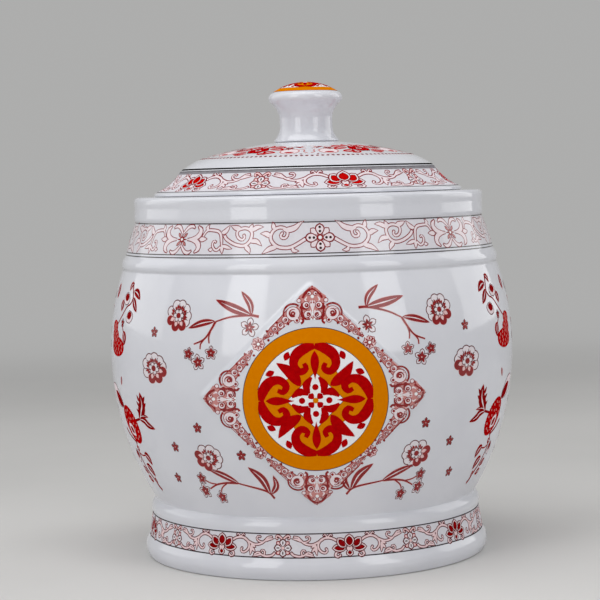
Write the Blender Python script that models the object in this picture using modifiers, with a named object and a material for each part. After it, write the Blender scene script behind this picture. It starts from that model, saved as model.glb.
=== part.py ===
"""Glazed porcelain rice jar with a raised diamond on its front, and a lid that lifts out and turns.

Metres, +Z up. The jar stands on z = 0 with its axis on Z, and the diamond faces -Y.
The pieces are the pot, the lid, the knob luted on the lid, and the ribbed ring that seals the lid's flange.
"""

import math

import bmesh
import bpy
from mathutils import Matrix, Vector

# Heights of the pot, stacked from the floor up
FOOT_EDGE_HEIGHT = 0.0018
FOOT_BEAD_HEIGHT = 0.0124
FOOT_BAND_HEIGHT = 0.0164
FOOT_RING_HEIGHT = 0.0096
BARREL_LOWER_HEIGHT = 0.1018
BARREL_UPPER_HEIGHT = 0.0578
SHOULDER_BEAD_HEIGHT = 0.0087
NECK_HEIGHT = 0.0238
COLLAR_HEIGHT = 0.0169

# Radii of the pot, stepped in from its widest place
BELLY_RADIUS = 0.1400
FOOT_PINCH = 0.0284
FOOT_BAND_STEP = 0.0027
FOOT_BAND_FLARE = 0.0025
FOOT_EDGE_FLARE = 0.0014
FOOT_EDGE_ROUND = 0.0022
SHOULDER_PINCH = 0.0099
SHOULDER_BEAD_STEP = 0.0019
NECK_TAPER = 0.0079
COLLAR_STEP = 0.0009
RIM_WIDTH = 0.0212

# How far each round stretch of the pot swells, measured from its chord
FOOT_BEAD_SWELL = 0.0022
FOOT_RING_SWELL = 0.0018
SHOULDER_BEAD_SWELL = 0.0013
NECK_SWELL = 0.0004
COLLAR_COVE_DEPTH = 0.0004

# Walls, roundings and the foot's underside
WALL = 0.0070
RIM_THICKNESS = 0.0120
RIM_SLOPE = 0.0030
COLLAR_ROUND = 0.0030
MOUTH_ROUND = 0.0014
BASE_THICKNESS = 0.0090
CAVITY_CORNER = 0.0180
CAVITY_TAPER = 0.0020
FOOT_RECESS = 0.0045
FOOT_RECESS_SLOPE = 0.0020
STANDING_WIDTH = 0.0125

# Raised diamond on the front
DIAMOND_HALF_DIAGONAL = 0.0735
DIAMOND_DROP = 0.0200
DIAMOND_RELIEF = 0.0016
DIAMOND_EDGE = 0.0012
DIAMOND_ROOT = 0.0030

# Gap left between two pieces that touch
FIT_GAP = 0.0003

# Lid, stepped in from the mouth and up from the rim
LID_OVERLAP = 0.0070
LID_EDGE_HEIGHT = 0.0020
LID_EDGE_CHAMFER = 0.0011
LID_EDGE_STEP = 0.0019
LID_COVE_WIDTH = 0.0171
LID_COVE_HEIGHT = 0.0145
LID_COVE_DEPTH = 0.0019
LID_LEDGE_WIDTH = 0.0008
LID_LEDGE_HEIGHT = 0.0004
LID_MOULDING_WIDTH = 0.0152
LID_MOULDING_HEIGHT = 0.0079
LID_MOULDING_SWELL = 0.0008
LID_DOME_HEIGHT = 0.0095
LID_DOME_SWELL = 0.0010
LID_WALL = 0.0050
FLANGE_CLEARANCE = 0.0035
FLANGE_THICKNESS = 0.0060
FLANGE_DEPTH = 0.0160
FLANGE_ROUND = 0.0018

# Ribbed seal and its groove in the flange
GROOVE_DEPTH = 0.0025
GROOVE_HEIGHT = 0.0080
GROOVE_DROP = 0.0030
SEAL_BODY = 0.0030
SEAL_RIBS = 3
SEAL_RIB_ROOT = 0.0017
SEAL_RIB_TIP = 0.0008

# Knob, from its foot up
KNOB_SEAT_MARGIN = 0.0010
KNOB_FOOT_RADIUS = 0.0226
KNOB_FOOT_EDGE = 0.0012
KNOB_FOOT_HEIGHT = 0.0089
KNOB_FOOT_COVE = 0.0009
KNOB_NECK_RADIUS = 0.0184
KNOB_NECK_HEIGHT = 0.0047
KNOB_FLARE_HEIGHT = 0.0126
KNOB_FLARE_COVE = 0.0017
KNOB_HEAD_RADIUS = 0.0242
KNOB_HEAD_HEIGHT = 0.0062
KNOB_HEAD_SWELL = 0.0016
KNOB_CROWN_HEIGHT = 0.0078
KNOB_WALL = 0.0050
KNOB_HOLLOW_ROUND = 0.0060

# Fineness of the solids
TURN_STEPS = 64
KNOB_STEPS = 40
CURVE_TOLERANCE = 0.0002
DIAMOND_CELLS = 12
SHARP_ANGLE = math.radians(35)

# Places worked out from the sizes above
FOOT_BEAD_TOP = FOOT_EDGE_HEIGHT + FOOT_BEAD_HEIGHT
FOOT_BAND_TOP = FOOT_BEAD_TOP + FOOT_BAND_HEIGHT
FOOT_TOP = FOOT_BAND_TOP + FOOT_RING_HEIGHT
BELLY_Z = FOOT_TOP + BARREL_LOWER_HEIGHT
SHOULDER_Z = BELLY_Z + BARREL_UPPER_HEIGHT
NECK_FOOT_Z = SHOULDER_Z + SHOULDER_BEAD_HEIGHT
NECK_TOP_Z = NECK_FOOT_Z + NECK_HEIGHT
RIM_Z = NECK_TOP_Z + COLLAR_HEIGHT
FOOT_TOP_RADIUS = BELLY_RADIUS - FOOT_PINCH
BAND_TOP_RADIUS = FOOT_TOP_RADIUS + FOOT_BAND_STEP
BAND_FOOT_RADIUS = BAND_TOP_RADIUS + FOOT_BAND_FLARE
FOOT_EDGE_RADIUS = BAND_FOOT_RADIUS + FOOT_EDGE_FLARE
STANDING_RADIUS = FOOT_EDGE_RADIUS - FOOT_EDGE_ROUND
SHOULDER_RADIUS = BELLY_RADIUS - SHOULDER_PINCH
NECK_FOOT_RADIUS = SHOULDER_RADIUS - SHOULDER_BEAD_STEP
NECK_TOP_RADIUS = NECK_FOOT_RADIUS - NECK_TAPER
COLLAR_RADIUS = NECK_TOP_RADIUS + COLLAR_STEP
MOUTH_RADIUS = COLLAR_RADIUS - RIM_WIDTH
FLANGE_RADIUS = MOUTH_RADIUS - FLANGE_CLEARANCE
LID_EDGE_RADIUS = MOUTH_RADIUS + LID_OVERLAP
COVE_FOOT_RADIUS = LID_EDGE_RADIUS - LID_EDGE_STEP
COVE_TOP_RADIUS = COVE_FOOT_RADIUS - LID_COVE_WIDTH
LEDGE_RADIUS = COVE_TOP_RADIUS - LID_LEDGE_WIDTH
DOME_RADIUS = LEDGE_RADIUS - LID_MOULDING_WIDTH
KNOB_SEAT_RADIUS = KNOB_FOOT_RADIUS + KNOB_SEAT_MARGIN
COVE_FOOT_Z = LID_EDGE_HEIGHT + LID_EDGE_CHAMFER
COVE_TOP_Z = COVE_FOOT_Z + LID_COVE_HEIGHT
LEDGE_Z = COVE_TOP_Z + LID_LEDGE_HEIGHT
DOME_Z = LEDGE_Z + LID_MOULDING_HEIGHT
KNOB_SEAT_Z = DOME_Z + LID_DOME_HEIGHT
DIAMOND_Z = BELLY_Z - DIAMOND_DROP


def clear_scene():
    for obj in list(bpy.data.objects):
        bpy.data.objects.remove(obj)


def new_collection(name):
    collection = bpy.data.collections.new(name)
    bpy.context.scene.collection.children.link(collection)
    return collection


def principled(name, colour, roughness):
    material = bpy.data.materials.new(name)
    material.use_nodes = True
    shader = material.node_tree.nodes["Principled BSDF"]
    shader.inputs["Base Color"].default_value = (*colour, 1.0)
    shader.inputs["Roughness"].default_value = roughness
    shader.inputs["Metallic"].default_value = 0.0
    return material


def bow(start, end, rise):
    """Points of the round arc from start to end, start left out. Its middle stands rise to the left."""
    chord = end - start
    steps = max(1, math.ceil(math.sqrt(abs(rise) / CURVE_TOLERANCE)))
    if steps == 1:
        return [end]
    left = Vector((-chord.y, chord.x)).normalized()
    radius = (chord.length_squared / 4 + rise * rise) / (2 * rise)
    centre = (start + end) / 2 + left * (rise - radius)
    sweep = 4 * math.atan2(2 * rise, chord.length)
    turns = (Matrix.Rotation(-sweep * step / steps, 2) for step in range(1, steps))
    return [centre + turn @ (start - centre) for turn in turns] + [end]


def rounded(before, corner, after, radius):
    """Points that round one corner of a profile with an arc of the radius."""
    to_before = (before - corner).normalized()
    to_after = (after - corner).normalized()
    half_corner = to_before.angle(to_after) / 2
    setback = radius / math.tan(half_corner)
    start = corner + to_before * setback
    end = corner + to_after * setback
    rise = radius * (1 - math.sin(half_corner))
    turns_right = to_before.cross(to_after) > 0
    return [start] + bow(start, end, rise if turns_right else -rise)


def profile(*path):
    """Points of a profile, in radius and height, from its corners and the swells between them.

    A corner is (radius, height), or (radius, height, rounding). A bare number between two corners
    swells the stretch there by that much, to the left of the way that the profile runs.
    """
    corners = []
    roundings = []
    swells = {}
    for item in path:
        if isinstance(item, tuple):
            corners.append(Vector(item[:2]))
            roundings.append(sum(item[2:]))
        else:
            swells[len(corners)] = item
    points = []
    for index, corner in enumerate(corners):
        if roundings[index]:
            points += rounded(corners[index - 1], corner, corners[index + 1], roundings[index])
        elif index in swells:
            points += bow(points[-1], corner, swells[index])
        else:
            points.append(corner)
    return points


def tangent_rise(drop, run):
    """Rise of an arc that leaves one end straight along its run, and drops off that line by its other end."""
    return math.hypot(drop, run) / 2 * math.tan(math.atan2(drop, run) / 2)


def barrel_radius(height, inset=0.0):
    """Radius of the barrel at a height, or of the surface that lies inset inside its wall."""
    above = height > BELLY_Z
    pinch = SHOULDER_PINCH if above else FOOT_PINCH
    reach = BARREL_UPPER_HEIGHT if above else BARREL_LOWER_HEIGHT
    arc = (reach**2 + pinch**2) / (2 * pinch)
    return BELLY_RADIUS - arc + math.sqrt((arc - inset) ** 2 - (height - BELLY_Z) ** 2)


def inset(points, distance):
    """The points of a profile, each moved to the right of the way it runs."""
    moved = []
    for index, point in enumerate(points):
        along = points[min(index + 1, len(points) - 1)] - points[max(index - 1, 0)]
        moved.append(point + Vector((along.y, -along.x)).normalized() * distance)
    return moved


def as_mesh(obj):
    """The object's mesh with its modifiers applied, smooth but for its sharp edges."""
    graph = bpy.context.evaluated_depsgraph_get()
    mesh = bpy.data.meshes.new_from_object(obj.evaluated_get(graph))
    obj.modifiers.clear()
    obj.data = mesh
    mesh.name = obj.name
    mesh.shade_smooth()
    mesh.set_sharp_from_angle(angle=SHARP_ANGLE)


def turned(name, points, steps, collection, material, closed=False):
    """A piece turned about Z from a profile that runs down its outer side."""
    bm = bmesh.new()
    ring = [bm.verts.new((point.x, 0.0, point.y)) for point in points]
    for first, second in zip(ring, ring[1:]):
        bm.edges.new((first, second))
    if closed:
        bm.edges.new((ring[-1], ring[0]))
    mesh = bpy.data.meshes.new(name)
    bm.to_mesh(mesh)
    bm.free()
    mesh.materials.append(material)
    obj = bpy.data.objects.new(name, mesh)
    collection.objects.link(obj)
    screw = obj.modifiers.new("Turn", "SCREW")
    screw.axis = "Z"
    screw.angle = math.tau
    screw.steps = steps
    screw.render_steps = steps
    screw.use_merge_vertices = True
    screw.merge_threshold = 0.00001
    return obj


def pot_profile():
    """The pot's wall, from the middle of its floor, up inside, over the rim and down to its underside."""
    floor_z = FOOT_RECESS + BASE_THICKNESS
    inner_foot = Vector((barrel_radius(FOOT_TOP, WALL), FOOT_TOP))
    inner_shoulder = Vector((barrel_radius(SHOULDER_Z, WALL), SHOULDER_Z))
    inner_belly = BELLY_RADIUS - WALL
    lip_z = RIM_Z - RIM_THICKNESS
    cove_margin = COLLAR_HEIGHT / 4
    return profile(
        (0.0, floor_z),
        (inner_foot.x - CAVITY_TAPER, floor_z, CAVITY_CORNER),
        tuple(inner_foot),
        -tangent_rise(inner_belly - inner_foot.x, BARREL_LOWER_HEIGHT),
        (inner_belly, BELLY_Z),
        -tangent_rise(inner_belly - inner_shoulder.x, BARREL_UPPER_HEIGHT),
        tuple(inner_shoulder),
        (NECK_TOP_RADIUS - WALL, lip_z - RIM_SLOPE, RIM_SLOPE),
        (MOUTH_RADIUS, lip_z, MOUTH_ROUND),
        (MOUTH_RADIUS, RIM_Z, MOUTH_ROUND),
        (COLLAR_RADIUS, RIM_Z, COLLAR_ROUND),
        (COLLAR_RADIUS, RIM_Z - cove_margin),
        -COLLAR_COVE_DEPTH,
        (COLLAR_RADIUS, NECK_TOP_Z + cove_margin),
        (COLLAR_RADIUS, NECK_TOP_Z + COLLAR_STEP),
        (NECK_TOP_RADIUS, NECK_TOP_Z),
        NECK_SWELL,
        (NECK_FOOT_RADIUS, NECK_FOOT_Z),
        SHOULDER_BEAD_SWELL,
        (SHOULDER_RADIUS, SHOULDER_Z),
        tangent_rise(SHOULDER_PINCH, BARREL_UPPER_HEIGHT),
        (BELLY_RADIUS, BELLY_Z),
        tangent_rise(FOOT_PINCH, BARREL_LOWER_HEIGHT),
        (FOOT_TOP_RADIUS, FOOT_TOP),
        FOOT_RING_SWELL,
        (BAND_TOP_RADIUS, FOOT_BAND_TOP),
        (BAND_FOOT_RADIUS, FOOT_BEAD_TOP),
        FOOT_BEAD_SWELL,
        (FOOT_EDGE_RADIUS, FOOT_EDGE_HEIGHT),
        tangent_rise(FOOT_EDGE_ROUND, FOOT_EDGE_HEIGHT),
        (STANDING_RADIUS, 0.0),
        (STANDING_RADIUS - STANDING_WIDTH, 0.0),
        (STANDING_RADIUS - STANDING_WIDTH - FOOT_RECESS_SLOPE, FOOT_RECESS),
        (0.0, FOOT_RECESS),
    )


def diamond_point(across, height, relief):
    """A point on the front of the barrel, straight behind its place in the front view."""
    radius = barrel_radius(height) + relief
    return Vector((across, -math.sqrt(radius**2 - across**2), height))


def diamond_pad(collection, material):
    """The raised diamond: a square on its corner in the front view, that follows the barrel and roots in it."""
    bm = bmesh.new()
    half_side = DIAMOND_HALF_DIAGONAL / math.sqrt(2)
    corner_up = Matrix.Rotation(math.radians(45), 3, "Z")
    bmesh.ops.create_grid(
        bm, x_segments=DIAMOND_CELLS, y_segments=DIAMOND_CELLS, size=half_side, matrix=corner_up.to_4x4()
    )
    for vertex in bm.verts:
        vertex.co = diamond_point(vertex.co.x, DIAMOND_Z + vertex.co.y, DIAMOND_RELIEF)
    thickened = bmesh.ops.extrude_face_region(bm, geom=bm.faces[:])
    for element in thickened["geom"]:
        if isinstance(element, bmesh.types.BMVert):
            element.co = diamond_point(element.co.x, element.co.z, -DIAMOND_ROOT)
    bmesh.ops.recalc_face_normals(bm, faces=bm.faces)
    mesh = bpy.data.meshes.new("diamond_pad")
    bm.to_mesh(mesh)
    bm.free()
    mesh.materials.append(material)
    obj = bpy.data.objects.new("diamond_pad", mesh)
    collection.objects.link(obj)
    obj.hide_render = True
    obj.display_type = "WIRE"
    edges = obj.modifiers.new("Rounded edge", "BEVEL")
    edges.width = DIAMOND_EDGE
    edges.segments = 2
    edges.limit_method = "ANGLE"
    edges.angle_limit = SHARP_ANGLE
    return obj


def make_pot(parts, helpers, material):
    pot = turned("jar_body", pot_profile(), TURN_STEPS, parts, material)
    join = pot.modifiers.new("Diamond", "BOOLEAN")
    join.operation = "UNION"
    join.object = diamond_pad(helpers, material)
    as_mesh(pot)


def lid_top_profile():
    """The lid's upper face from the knob's seat out to its ledge."""
    return profile(
        (0.0, KNOB_SEAT_Z),
        (KNOB_SEAT_RADIUS, KNOB_SEAT_Z),
        LID_DOME_SWELL,
        (DOME_RADIUS, DOME_Z),
        LID_MOULDING_SWELL,
        (LEDGE_RADIUS, LEDGE_Z),
    )


def lid_profile():
    """The lid's wall: over the top, down to its edge, round the grooved flange and back underneath."""
    groove_floor = FLANGE_RADIUS - GROOVE_DEPTH
    groove_foot = -GROOVE_DROP - GROOVE_HEIGHT
    flange_inner = FLANGE_RADIUS - FLANGE_THICKNESS
    top = lid_top_profile()
    rim = profile(
        (COVE_TOP_RADIUS, COVE_TOP_Z),
        -LID_COVE_DEPTH,
        (COVE_FOOT_RADIUS, COVE_FOOT_Z),
        (LID_EDGE_RADIUS, LID_EDGE_HEIGHT),
        (LID_EDGE_RADIUS, FIT_GAP),
        (FLANGE_RADIUS, FIT_GAP),
        (FLANGE_RADIUS, -GROOVE_DROP),
        (groove_floor, -GROOVE_DROP),
        (groove_floor, groove_foot),
        (FLANGE_RADIUS, groove_foot),
        (FLANGE_RADIUS, -FLANGE_DEPTH, FLANGE_ROUND),
        (flange_inner, -FLANGE_DEPTH, FLANGE_ROUND),
        (flange_inner, COVE_FOOT_Z),
    )
    underside = inset(top, LID_WALL)[::-1]
    underside[-1].x = 0.0
    return top + rim + underside


def make_lid(parts, axis, material):
    lid = turned("lid_shell", lid_profile(), TURN_STEPS, parts, material)
    as_mesh(lid)
    lid.parent = axis


def seal_profile():
    """The seal's section: a band in the groove with ribs that reach for the mouth's wall."""
    inner = FLANGE_RADIUS - GROOVE_DEPTH + FIT_GAP
    root = inner + SEAL_BODY
    tip = MOUTH_RADIUS - FIT_GAP
    top = -GROOVE_DROP - FIT_GAP
    foot = -GROOVE_DROP - GROOVE_HEIGHT + FIT_GAP
    pitch = (top - foot) / SEAL_RIBS
    corners = [(inner, top), (root, top)]
    for rib in range(SEAL_RIBS):
        middle = top - (rib + 0.5) * pitch
        corners.append((root, middle + SEAL_RIB_ROOT / 2))
        corners.append((tip, middle + SEAL_RIB_TIP / 2))
        corners.append((tip, middle - SEAL_RIB_TIP / 2))
        corners.append((root, middle - SEAL_RIB_ROOT / 2))
    corners += [(root, foot), (inner, foot)]
    return profile(*corners)


def make_seal(parts, axis, material):
    seal = turned("seal_ring", seal_profile(), TURN_STEPS, parts, material, closed=True)
    as_mesh(seal)
    seal.parent = axis


def knob_profile():
    """The knob's wall: over its crown, down its waist to the foot, and up inside its hollow."""
    neck_foot = KNOB_FOOT_EDGE + KNOB_FOOT_HEIGHT
    neck_top = neck_foot + KNOB_NECK_HEIGHT
    head_foot = neck_top + KNOB_FLARE_HEIGHT
    head_top = head_foot + KNOB_HEAD_HEIGHT
    crown = head_top + KNOB_CROWN_HEIGHT
    hollow_radius = KNOB_NECK_RADIUS - KNOB_WALL
    hollow_top = head_top - KNOB_WALL
    return profile(
        (0.0, crown),
        tangent_rise(KNOB_CROWN_HEIGHT, KNOB_HEAD_RADIUS),
        (KNOB_HEAD_RADIUS, head_top),
        KNOB_HEAD_SWELL,
        (KNOB_HEAD_RADIUS, head_foot),
        -KNOB_FLARE_COVE,
        (KNOB_NECK_RADIUS, neck_top),
        (KNOB_NECK_RADIUS, neck_foot),
        -KNOB_FOOT_COVE,
        (KNOB_FOOT_RADIUS, KNOB_FOOT_EDGE),
        (KNOB_FOOT_RADIUS, 0.0),
        (hollow_radius, 0.0),
        (hollow_radius, hollow_top, KNOB_HOLLOW_ROUND),
        (0.0, hollow_top),
    )


def make_knob(parts, axis, material):
    knob = turned("lid_knob", knob_profile(), KNOB_STEPS, parts, material)
    as_mesh(knob)
    knob.parent = axis
    knob.location.z = KNOB_SEAT_Z + FIT_GAP


def lid_axis(parts):
    """The empty that carries what lifts and turns, where the jar's axis meets the rim."""
    axis = bpy.data.objects.new("lid_axis", None)
    axis.location.z = RIM_Z
    parts.objects.link(axis)
    return axis


def main():
    clear_scene()
    parts = new_collection("rice_storage_jar")
    helpers = new_collection("helpers")
    pot_porcelain = principled("pot_porcelain", (0.86, 0.87, 0.89), 0.12)
    lid_porcelain = principled("lid_porcelain", (0.86, 0.87, 0.89), 0.12)
    knob_porcelain = principled("knob_porcelain", (0.86, 0.87, 0.89), 0.12)
    silicone = principled("silicone", (0.78, 0.79, 0.78), 0.55)
    axis = lid_axis(parts)
    make_pot(parts, helpers, pot_porcelain)
    make_lid(parts, axis, lid_porcelain)
    make_knob(parts, axis, knob_porcelain)
    make_seal(parts, axis, silicone)


main()
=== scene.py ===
"""Looks of the glazed porcelain rice jar: fine turned surfaces, glaze, fired decoration and a pale studio.

Sizes are in millimetres, but the meshes and the studio are in metres. The diamond faces -Y, and
turns are measured from the front round to +X. Decoration is drawn flat in complex numbers: the
real part runs round the jar or across it, and the imaginary part runs up it.
"""

import cmath
import math

import bpy
import numpy as np
from mathutils import Matrix, Vector

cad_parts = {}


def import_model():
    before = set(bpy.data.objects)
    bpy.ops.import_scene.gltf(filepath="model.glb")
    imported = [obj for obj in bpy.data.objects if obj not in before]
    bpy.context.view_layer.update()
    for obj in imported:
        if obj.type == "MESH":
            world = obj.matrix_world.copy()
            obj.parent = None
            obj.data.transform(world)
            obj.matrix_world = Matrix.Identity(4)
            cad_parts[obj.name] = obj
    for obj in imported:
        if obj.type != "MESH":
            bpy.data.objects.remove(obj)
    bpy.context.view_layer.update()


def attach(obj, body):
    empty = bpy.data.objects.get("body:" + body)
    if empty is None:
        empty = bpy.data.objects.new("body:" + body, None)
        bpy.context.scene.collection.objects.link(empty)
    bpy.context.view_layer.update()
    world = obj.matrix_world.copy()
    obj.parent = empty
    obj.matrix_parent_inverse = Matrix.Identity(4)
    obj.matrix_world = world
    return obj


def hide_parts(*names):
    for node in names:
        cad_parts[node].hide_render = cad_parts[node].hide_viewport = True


MM = 0.001
TINY = 1e-9

# Heights and radii of the pot
FOOT_EDGE_Z = 1.8
FOOT_BEAD_TOP = 14.2
FOOT_BAND_TOP = 30.6
FOOT_TOP = 40.2
BELLY_Z = 142.0
SHOULDER_Z = 199.8
NECK_FOOT_Z = 208.5
NECK_TOP_Z = 232.3
RIM_Z = 249.2
STANDING_RADIUS = 116.0
FOOT_EDGE_RADIUS = 118.2
BAND_FOOT_RADIUS = 116.8
BAND_TOP_RADIUS = 114.3
FOOT_TOP_RADIUS = 111.6
BELLY_RADIUS = 140.0
SHOULDER_RADIUS = 130.1
NECK_FOOT_RADIUS = 128.2
NECK_TOP_RADIUS = 120.3
COLLAR_RADIUS = 121.2
MOUTH_RADIUS = 100.0

# Walls and roundings of the pot
WALL = 7.0
RIM_THICKNESS = 12.0
RIM_SLOPE = 3.0
COLLAR_ROUND = 3.0
COLLAR_COVE_MARGIN = 4.2
COLLAR_COVE_DEPTH = 0.4
COLLAR_STEP = 0.9
MOUTH_ROUND = 1.4
FLOOR_Z = 13.5
CAVITY_CORNER = 18.0
CAVITY_TAPER = 2.0
FOOT_RECESS = 4.5
FOOT_RECESS_SLOPE = 2.0
STANDING_WIDTH = 12.5
BARE_FOOT_Z = 0.3
FOOT_BEAD_SWELL = 2.2
FOOT_RING_SWELL = 1.8
SHOULDER_BEAD_SWELL = 1.3
NECK_SWELL = 0.4

# Raised diamond, and the middle of the print on it
DIAMOND_HALF = 73.5
DIAMOND_Z = 122.0
DIAMOND_RELIEF = 1.6
DIAMOND_SKIRT = 2.8
DIAMOND_CORNER = 1.6
DIAMOND_CELL = 1.5
DIAMOND_MARGIN = 3
DIAMOND_CELLS = round(DIAMOND_HALF / DIAMOND_CELL) + DIAMOND_MARGIN
PRINT_MIDDLE = 1.2 + 120.5j

# Lid: radii, and heights above the rim
LID_EDGE_RADIUS = 107.0
COVE_FOOT_RADIUS = 105.1
COVE_TOP_RADIUS = 88.0
LEDGE_RADIUS = 87.2
DOME_RADIUS = 72.0
KNOB_SEAT_RADIUS = 23.6
FIT_GAP = 0.3
LID_EDGE_Z = 2.0
COVE_FOOT_Z = 3.1
COVE_TOP_Z = 17.6
LEDGE_Z = 18.0
DOME_Z = 25.9
KNOB_SEAT_Z = 35.4
COVE_DEPTH = 1.9
MOULDING_SWELL = 0.8
DOME_SWELL = 1.0
LID_WALL = 5.0
FLANGE_RADIUS = 96.5
FLANGE_THICKNESS = 6.0
FLANGE_DEPTH = 16.0
FLANGE_ROUND = 1.8
GROOVE_DEPTH = 2.5
GROOVE_TOP = -3.0
GROOVE_FOOT = -11.0

# Ribbed seal
SEAL_BODY = 3.0
SEAL_RIBS = 3
SEAL_RIB_ROOT = 1.7
SEAL_RIB_TIP = 0.8

# Knob: radii, and heights above its seat
KNOB_FOOT_RADIUS = 22.6
KNOB_NECK_RADIUS = 18.4
KNOB_HEAD_RADIUS = 24.2
KNOB_FOOT_EDGE = 1.2
KNOB_NECK_FOOT = 10.1
KNOB_NECK_TOP = 14.8
KNOB_HEAD_FOOT = 27.4
KNOB_HEAD_TOP = 33.6
KNOB_CROWN = 41.4
KNOB_FOOT_COVE = 0.9
KNOB_FLARE_COVE = 1.7
KNOB_HEAD_SWELL = 1.6
KNOB_WALL = 5.0
KNOB_HOLLOW_ROUND = 6.0

# Fineness of the surfaces
FINE_STEP = 0.2
CURVE_TOLERANCE = 0.003
BARREL_STEPS = 400
GLAZE_SOFTENING = 0.5
LID_SOFTENING = 0.3
SEAL_SOFTENING = 0.15
ROW_BEND = math.radians(9)
OUTER_ROW = 3.0
INNER_ROW = 9.0
LID_ROW = 1.4
KNOB_ROW = 1.5
SEAL_ROW = 1.0
BACK_COLUMNS = 168
LID_COLUMNS = 240
KNOB_COLUMNS = 96
FRONT_RADIUS = 100.0

# Strokes: how they are cut up, and how thick each coat lies on the glaze
STROKE_STEP = 1.2
CURVE_STEPS = 12
LINE_STEPS = 360
OUTLINE = 0.58
VINE_TIP = 0.75
STROKE_COLUMN = 1.6
HAIRLINE = 0.12
COAT_ROOT = -0.10
FIRST_COAT = 0.03
NEXT_COAT = 0.02
TANGENT_REACH = 0.2


# Turned sections


def bow(start, end, rise):
    """Points of the round arc from start to end, start left out. Its middle stands rise to the left."""
    chord = end - start
    steps = max(1, math.ceil(math.sqrt(abs(rise) / CURVE_TOLERANCE)))
    if steps == 1:
        return [end]
    left = Vector((-chord.y, chord.x)).normalized()
    radius = (chord.length_squared / 4 + rise * rise) / (2 * rise)
    centre = (start + end) / 2 + left * (rise - radius)
    sweep = 4 * math.atan2(2 * rise, chord.length)
    turns = (Matrix.Rotation(-sweep * step / steps, 2) for step in range(1, steps))
    return [centre + turn @ (start - centre) for turn in turns] + [end]


def rounded(before, corner, after, radius):
    """Points that round one corner of a profile with an arc of the radius."""
    to_before = (before - corner).normalized()
    to_after = (after - corner).normalized()
    half_corner = to_before.angle(to_after) / 2
    setback = radius / math.tan(half_corner)
    rise = radius * (1 - math.sin(half_corner))
    turns_right = to_before.cross(to_after) > 0
    start = corner + to_before * setback
    return [start] + bow(start, corner + to_after * setback, rise if turns_right else -rise)


def profile(*path):
    """Points of a profile, in radius and height, from its corners and the swells between them.

    A corner is (radius, height), or (radius, height, rounding). A bare number between two corners
    swells the stretch there by that much, to the left of the way that the profile runs.
    """
    corners = []
    roundings = []
    swells = {}
    for item in path:
        if isinstance(item, tuple):
            corners.append(Vector(item[:2]))
            roundings.append(sum(item[2:]))
        else:
            swells[len(corners)] = item
    points = []
    for index, corner in enumerate(corners):
        if roundings[index]:
            points += rounded(corners[index - 1], corner, corners[index + 1], roundings[index])
        elif index in swells:
            points += bow(points[-1], corner, swells[index])
        else:
            points.append(corner)
    return points


def tangent_rise(drop, run):
    """Rise of an arc that leaves one end straight along its run, and drops off that line by its other end."""
    return math.hypot(drop, run) / 2 * math.tan(math.atan2(drop, run) / 2)


def barrel_radius(height, inset=0.0):
    """Radius of the barrel at a height, or of the surface that lies inset inside its wall."""
    height = np.asarray(height, float)
    above = height > BELLY_Z
    pinch = np.where(above, BELLY_RADIUS - SHOULDER_RADIUS, BELLY_RADIUS - FOOT_TOP_RADIUS)
    reach = np.where(above, SHOULDER_Z - BELLY_Z, BELLY_Z - FOOT_TOP)
    arc = (reach**2 + pinch**2) / (2 * pinch)
    return BELLY_RADIUS - arc + np.sqrt((arc - inset) ** 2 - (height - BELLY_Z) ** 2)


def lengths(path):
    """The length of a path in complex numbers up to each of its points."""
    return np.concatenate([[0.0], np.cumsum(abs(np.diff(path)))])


def softened(points, spread, closed=False):
    """The profile at small even steps, with its corners softened as a glaze does. Its open ends stay put."""
    corners = np.array([tuple(point) for point in points])
    if closed:
        corners = np.concatenate([corners, corners[:1]])
    along = lengths(corners @ (1, 1j))
    even = np.linspace(0.0, along[-1], math.ceil(along[-1] / FINE_STEP) + 1)
    fine = np.column_stack([np.interp(even, along, corners[:, axis]) for axis in (0, 1)])
    reach = math.ceil(3 * spread / FINE_STEP)
    weights = np.exp(-0.5 * (np.arange(-reach, reach + 1) * FINE_STEP / spread) ** 2)
    before = fine[-reach - 1 : -1] if closed else 2 * fine[0] - fine[reach:0:-1]
    after = fine[1 : reach + 1] if closed else 2 * fine[-1] - fine[-2 : -reach - 2 : -1]
    padded = np.concatenate([before, fine, after])
    soft = [np.convolve(padded[:, axis], weights / weights.sum(), "valid") for axis in (0, 1)]
    return np.column_stack(soft)


def thinned(section, step):
    """Rows picked from a fine section: one at each step, and more where it bends."""
    runs = np.diff(section, axis=0)
    heading = np.unwrap(np.arctan2(runs[:, 1], runs[:, 0]))
    kept = [0]
    for index in range(1, len(section) - 1):
        bend = abs(heading[index] - heading[kept[-1]])
        if bend > ROW_BEND or (index - kept[-1]) * FINE_STEP >= step:
            kept.append(index)
    kept.append(len(section) - 1)
    return section[kept]


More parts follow.
